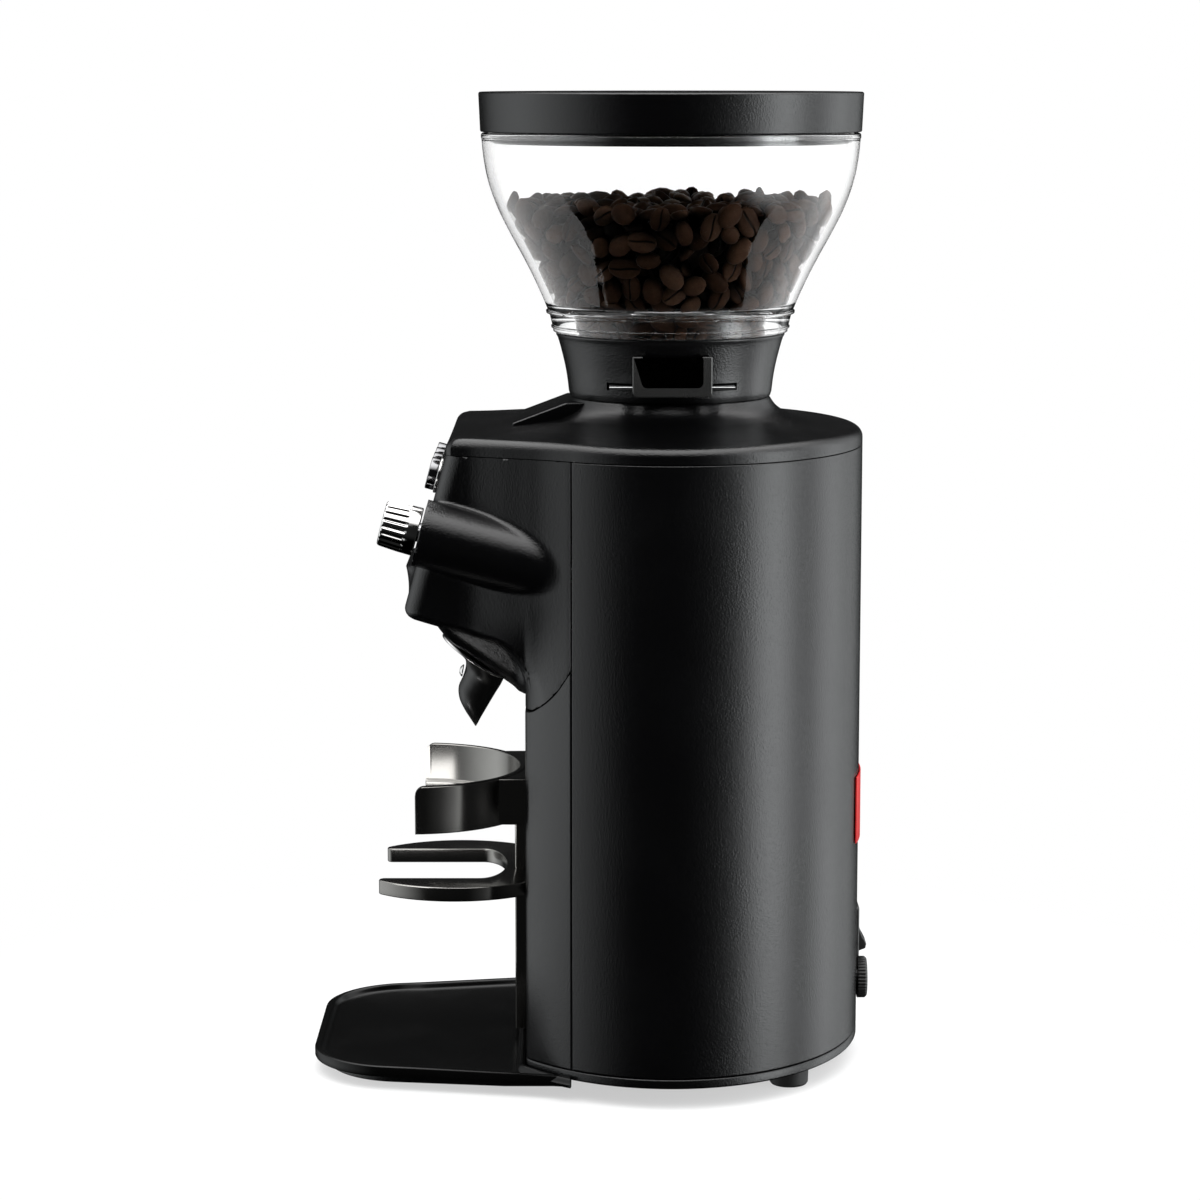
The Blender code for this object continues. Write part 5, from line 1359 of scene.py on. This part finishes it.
# %% Support plate, base plate and feet
support_low, support_high = span("tray_support")
half = rounded([(66, -45, 0), (66, -70, 0), (56, support_low[1], 34), (0, support_low[1], 0)],
               closed=False, steps=16)[:-1]
support_plan = spread(np.concatenate([half, (half * (-1, 1))[::-1]]), 260, closed=True)
support = cut_plate("tray_support_plate", anticlockwise(support_plan), support_low[2], tray_bottom - GAP, 0.5)
riser = block("riser", (-50, -57, support_low[2] + 1), (50, -46, support_high[2]))
support = boolean(support, riser, "UNION", 40)
place("tray_support_plate", support, "housing", textured_black, ["tray_support"])

base_low, base_high = span("base_plate")
base_plan = np.concatenate([rear_path[:-1], column_outline(seam=SEAM_Y)[1:-1]])
base_plan = spread(base_plan, 420, closed=True)
base = cut_plate("base_moulding", anticlockwise(base_plan), base_low[2], base_high[2], 0.9)
place("base_moulding", base, "housing", textured_black, ["base_plate"])

for number in range(1, 5):
    low, high = span(f"rubber_foot_{number}")
    centre, r = (low + high) / 2, (high[0] - low[0]) / 2
    top = high[2]
    foot_profile = rounded([(0, top, 0), (r - 0.3, top, 0.3), (r - 0.5, min(1.0, top / 2), 0.2),
                            (r - 1.2, 0, min(0.6, top / 3)), (3.2, 0, 0.3), (2.6, min(1.2, top / 2), 0.3),
                            (0, min(1.2, top / 2), 0)], closed=False, steps=4)
    points = turned_points(foot_profile, 64) + (centre[0], centre[1], 0)
    foot_mesh = make_mesh(f"rubber_foot_pad_{number}", points, [grid_faces(len(foot_profile), 64)])
    place(f"rubber_foot_pad_{number}", foot_mesh, "housing", rubber, [f"rubber_foot_{number}"])


# %% [markdown]
# ## Shutter handle
# A pull tab closes the hopper before it is lifted off. It is a U-shaped frame with polished
# edges and a thin recessed panel between its arms.

# %% Frame and panel of the tab
tab_low, tab_high = span("shutter_handle")
half_w, low_z, high_z, arm = tab_high[1], tab_low[2], tab_high[2], 4.2
u_plan = rounded([(half_w, high_z, 0.5), (half_w, low_z, 2.4), (-half_w, low_z, 2.4), (-half_w, high_z, 0.5),
                  (-half_w + arm, high_z, 0.5), (-half_w + arm, low_z + 4.4, 2.0),
                  (half_w - arm, low_z + 4.4, 2.0), (half_w - arm, high_z, 0.5)], steps=6)


def facing_x(front_x):
    """Turn plate points (y, z, depth) so the plate faces +X with its front at front_x."""
    return lambda p: np.stack([front_x - p[:, 2], p[:, 0], p[:, 1]], 1)


tab_depth = tab_high[0] - tab_low[0]
tab = cut_plate("tab", anticlockwise(u_plan), 0, tab_depth, 0.55, facing_x(tab_high[0]), 50)
inner_w, panel_top, panel_low = half_w - arm + 0.6, high_z - 3.0, low_z + 3.0
panel_plan = rounded([(-inner_w, panel_low, 0), (inner_w, panel_low, 0), (inner_w, panel_top, 0),
                      (-inner_w, panel_top, 0)])
recess = cut_plate("recess", anticlockwise(panel_plan), 0, 1.0, 0.25,
                   facing_x(tab_high[0] - tab_depth + 1.0), 50)
tab = boolean(tab, recess, "UNION", 40)
place("shutter_tab", tab, "shutter", anodised, ["shutter_handle"])


# %% Shutter plate with a rounded edge
plate_low, plate_high = span("shutter_plate")
arc = np.linspace(pi / 2, 3 * pi / 2, 60)
plate_half, plate_x = plate_high[1], plate_high[0]
tip = np.stack([(plate_low[0] + 0.02) * np.sin(arc - pi / 2), plate_half * np.cos(arc - pi / 2)], 1)
plate_plan = np.concatenate([[(plate_x, plate_half)], tip, [(plate_x, -plate_half)]])
shutter = cut_plate("shutter_blade", anticlockwise(plate_plan), plate_low[2], plate_high[2], 0.7)
place("shutter_blade", shutter, "shutter", steel, ["shutter_plate"])


# %% [markdown]
# ## Back of the housing
# The cable gland has a knurled nut, the switch has a curved paddle with a raised end, and a
# plain red label follows the oval wall. There is no cord, so the gland is left open.

# %% Knurled nut
nut_low, nut_high = span("gland_nut")
nut_r, nut_front, nut_back = nut_high[0], nut_low[1], nut_high[1]
nut_profile = rounded([(nut_r - 0.9, nut_back, 0.5), (nut_r, nut_back - 0.9, 0.3), (nut_r, nut_front, 0.3),
                       (6.5, nut_front, 0), (6.5, nut_back - 1.0, 0.2), (5.2, nut_back - 0.5, 0.2),
                       (5.2, nut_back, 0.2)], steps=3)
KNURLS, AROUND = 36, 288
angle = np.arange(AROUND) * 2 * pi / AROUND
groove = 0.45 * np.clip(np.cos(angle * KNURLS) + 0.2, 0, 1)
on_side = np.clip((nut_profile[:, 0] - nut_r + 0.8) / 0.6, 0, 1)
radius = nut_profile[:, :1] - on_side[:, None] * groove
nut_points = around_axis(radius, nut_profile[:, 1:], AROUND)
nut_mesh = make_mesh("gland_cap", along_y(nut_points, gland_z),
                     [grid_faces(len(nut_profile), AROUND, close_rows=True)], 45)
place("gland_cap", nut_mesh, "housing", soft_black, ["gland_nut"])

# %% Switch paddle and frame
rocker_low, rocker_high = span("rocker_paddle")
paddle_plan = np.concatenate([
    rounded([(76, 49, 0), (81.2, 43.2, 1.0), (85.4, 44.9, 0.6), (85.8, 46.8, 0.5)], closed=False, steps=4),
    smooth_curve([(85.4, 47.8), (83.7, 50.8), (82.7, 54.2), (82.3, 58), (82.5, 61.0)], 14)[1:],
    rounded([(82.5, 61.2, 0), (82.2, 61.9, 0.3), (80.4, 61.8, 0.4), (76, 55, 0)], closed=False, steps=3)[1:]])
paddle_half = rocker_high[0]
paddle = cut_plate("switch_rocker", anticlockwise(paddle_plan), 0, 2 * paddle_half, 0.5, sideways(paddle_half))
place("switch_rocker", paddle, "rocker", soft_black, ["rocker_paddle"])

fx, fz0, fz1, fy = frame_high[0], frame_low[2], frame_high[2], frame_high[1]
frame_profile = rounded([(0, fy - 16, 0.3), (0, fy, 0.8), (1.5, fy, 0.3), (1.7, fy - 14.3, 0)], steps=4)
around = spread(anticlockwise(rounded([(-fx, fz0, 1.6), (fx, fz0, 1.6), (fx, fz1, 1.6), (-fx, fz1, 1.6)])),
                120, closed=True)
into = inward(around)
ring_points = around[None] + into[None] * frame_profile[:, :1, None]
frame_points = np.stack([ring_points[..., 0], np.broadcast_to(frame_profile[:, 1:], ring_points.shape[:2]),
                         ring_points[..., 1]], -1)
frame_mesh = make_mesh("switch_bezel", frame_points, [grid_faces(len(frame_profile), 120, close_rows=True)])
place("switch_bezel", frame_mesh, "housing", soft_black, ["switch_frame"])

# %% Blank label
label_low, label_high = span("rating_label")
label_half, z0, z1 = label_high[0], label_low[2], label_high[2]


def wrap_back(lift):
    """Wrap plate points (x, z, height) onto the oval's back, lifted off it."""
    def wrap(p):
        angle = pi / 2 - np.arcsin(p[:, 0] / HALF_WIDTH)
        flat = oval_point(angle, -(lift + p[:, 2]))
        return np.stack([flat[:, 0], flat[:, 1], p[:, 1]], 1)
    return wrap


def strip_plate(name, low, high, thickness, lift):
    """A thin wrapped plate: a grid across its width, closed at its four edges."""
    x = np.linspace(low[0], high[0], 60)
    section = rounded([(low[1], 0, 0), (high[1], 0, 0), (high[1], thickness, 0.15),
                       (low[1], thickness, 0.15)], steps=3)
    across, up = section.T
    points = np.stack([np.repeat(x, len(section)), np.tile(across, len(x)), np.tile(up, len(x))], 1)
    return make_mesh(name, wrap_back(lift)(points), closed_tube(len(x), len(section)))


label = strip_plate("label_plate", (-label_half, z0), (label_half, z1), 0.5, 0.35)
place("label_plate", label, "housing", red_label, ["rating_label"])


# %% [markdown]
# ## Coffee beans
# A roasted bean is half an egg: round on its back, flat in front, with a crease down the flat
# side. Hundreds are shown, so one bean has only a few dozen faces, and its crease comes from
# the finish, as a shallow bump and a dark line of painted shade. First the places: balls of bean
# size are scattered through the bowl and pushed apart in small steps until they lie side by side.
# Then each gets a bean, turned at random, and its points get a painted shade that deepens into the heap.

# %% Scatter the beans and push them apart
rng = np.random.default_rng(11)
BEAN_R, FILL_TOP = 4.5, 366.0
inner_z, inner_r = inner[::-1, 1], inner[::-1, 0]


def bowl_room(z):
    """Inside radius of the bowl, and of the funnel below it, at a height."""
    return np.where(z > ledge_z, np.interp(z, inner_z, inner_r), np.interp(z, [297, 312], [24, FOOT_BORE]))


BEANS = 1020
z = 306 + (FILL_TOP - 306) * rng.random(BEANS * 3) ** 0.62
r = (bowl_room(z) - BEAN_R) * np.sqrt(rng.uniform(0.22, 1.0, BEANS * 3))
a = rng.uniform(0, 2 * pi, BEANS * 3)
spots = np.stack([r * np.cos(a), r * np.sin(a), z], 1)[:BEANS]
for step in range(70):
    gap = spots[:, None] - spots[None]
    far = np.sqrt((gap ** 2).sum(-1)) + np.eye(BEANS) * 99
    push = np.clip(2 * BEAN_R - far, 0, None) / far * 0.28
    spots += (gap * push[..., None]).sum(1)
    reach = np.hypot(spots[:, 0], spots[:, 1])
    room = bowl_room(spots[:, 2]) - BEAN_R * 0.80
    core_room = np.clip(room - 23, 6, None)
    limited = np.clip(reach, np.where(spots[:, 2] > FILL_TOP - 15, 0, core_room), room)
    spots[:, :2] *= (limited / np.maximum(reach, 1e-6))[:, None]
    heap = FILL_TOP - 1.2 + 2.2 * np.sin(spots[:, 0] * 0.11 + 1) * np.cos(spots[:, 1] * 0.09)
    spots[:, 2] = np.clip(spots[:, 2], 305, heap)
print(BEANS, "beans, nearest pair", round(float(far.min()), 1), "mm")

# %% One bean's surface, repeated
LONG, BROAD, THICK = 6.0, 4.5, 3.3
belts, sides = 5, 9
polar = np.linspace(0, pi, belts + 2)[1:-1]
around = np.arange(sides) * 2 * pi / sides
px = np.cos(polar)[:, None] * np.ones(sides)
py = np.sin(polar)[:, None] * np.cos(around)
pz = np.sin(polar)[:, None] * np.sin(around)
belt_points = np.stack([px, py, np.where(pz < 0, pz * 0.42, pz)], -1).reshape(-1, 3)
one = np.concatenate([[(1, 0, 0.1)], belt_points, [(-1, 0, 0.1)]])
belt_quads = grid_faces(belts, sides) + 1
here, after = np.arange(sides), (np.arange(sides) + 1) % sides
last = 1 + (belts - 1) * sides
tip_faces = np.concatenate([np.stack([here * 0, after + 1, here + 1], 1),
                            np.stack([here + last, after + last, here * 0 + len(one) - 1], 1)])


def unit(vectors):
    return vectors / (np.linalg.norm(vectors, axis=1)[:, None] + 1e-9)


near_wall = (np.hypot(spots[:, 0], spots[:, 1]) > bowl_room(spots[:, 2]) - 1.8 * BEAN_R)[:, None]
near_top = (spots[:, 2] > FILL_TOP - 7)[:, None]
outward = unit(spots * (1, 1, 0))
flat_way = np.where(near_wall, outward, np.where(near_top, (0, 0, 1.0), rng.normal(size=(BEANS, 3))))
flat_way = unit(flat_way * rng.choice([-1, 1], (BEANS, 1)) + rng.normal(size=(BEANS, 3)) * 0.33)
long_way = rng.normal(size=(BEANS, 3))
long_way = unit(long_way - (long_way * flat_way).sum(1)[:, None] * flat_way)
broad_way = np.cross(flat_way, long_way)
size = rng.uniform(0.88, 1.10, (BEANS, 1, 1)) * rng.uniform(0.95, 1.05, (BEANS, 1, 3))
shape = one[None] * (LONG, BROAD, THICK) * size
ways = np.stack([long_way, broad_way, flat_way], 1)
bean_points = (shape @ ways + spots[:, None]).reshape(-1, 3)
reach = np.hypot(bean_points[:, 0], bean_points[:, 1])
kept = np.minimum(reach, bowl_room(bean_points[:, 2]) - 0.3) / np.maximum(reach, 1e-6)
bean_points[:, :2] *= kept[:, None]
shift = (np.arange(BEANS) * len(one))[:, None, None]
bean_faces = [(faces[None] + shift).reshape(-1, faces.shape[1]) for faces in (belt_quads, tip_faces)]
beans = make_mesh("coffee_beans", bean_points, bean_faces, 80, welded=False)
# painted shade: the further a bean point lies from the glass and from the heap's top, the darker it is drawn
deep = bowl_room(bean_points[:, 2]) - np.hypot(bean_points[:, 0], bean_points[:, 1])
deep = np.minimum(deep, np.clip(FILL_TOP + 2 - bean_points[:, 2], 0, None))
painted_depth_shade = np.clip((deep - 1.0) / 5.5, 0, 1) ** 0.8
for label, kind, values in (("bean_place", "FLOAT_VECTOR", np.tile(one, (BEANS, 1))),
                            ("bean_shade", "FLOAT", painted_depth_shade),
                            ("bean_tone", "FLOAT", np.repeat(rng.beta(2.2, 2.6, BEANS), len(one)))):
    layer = beans.attributes.new(label, kind, "POINT")
    layer.data.foreach_set("vector" if kind == "FLOAT_VECTOR" else "value", values.astype(np.float32).ravel())
place("coffee_beans", beans, "hopper", beans_finish, ["bean_fill"])

# %% A dark bed behind them: painted shade of the beans deep in the heap
bed_z = np.linspace(FILL_TOP - 9, 300, 24)
bed_r = np.clip(bowl_room(bed_z) - 13, 4, None)
bed_profile = np.concatenate([[(0, FILL_TOP - 8)], np.stack([bed_r, bed_z], 1), [(0, 299)]])
bed = turned("bean_bed_painted_shade", bed_profile, 64, closed=False)
place("bean_bed_painted_shade", bed, "hopper", painted_shade_bed_finish, ["bean_fill"])
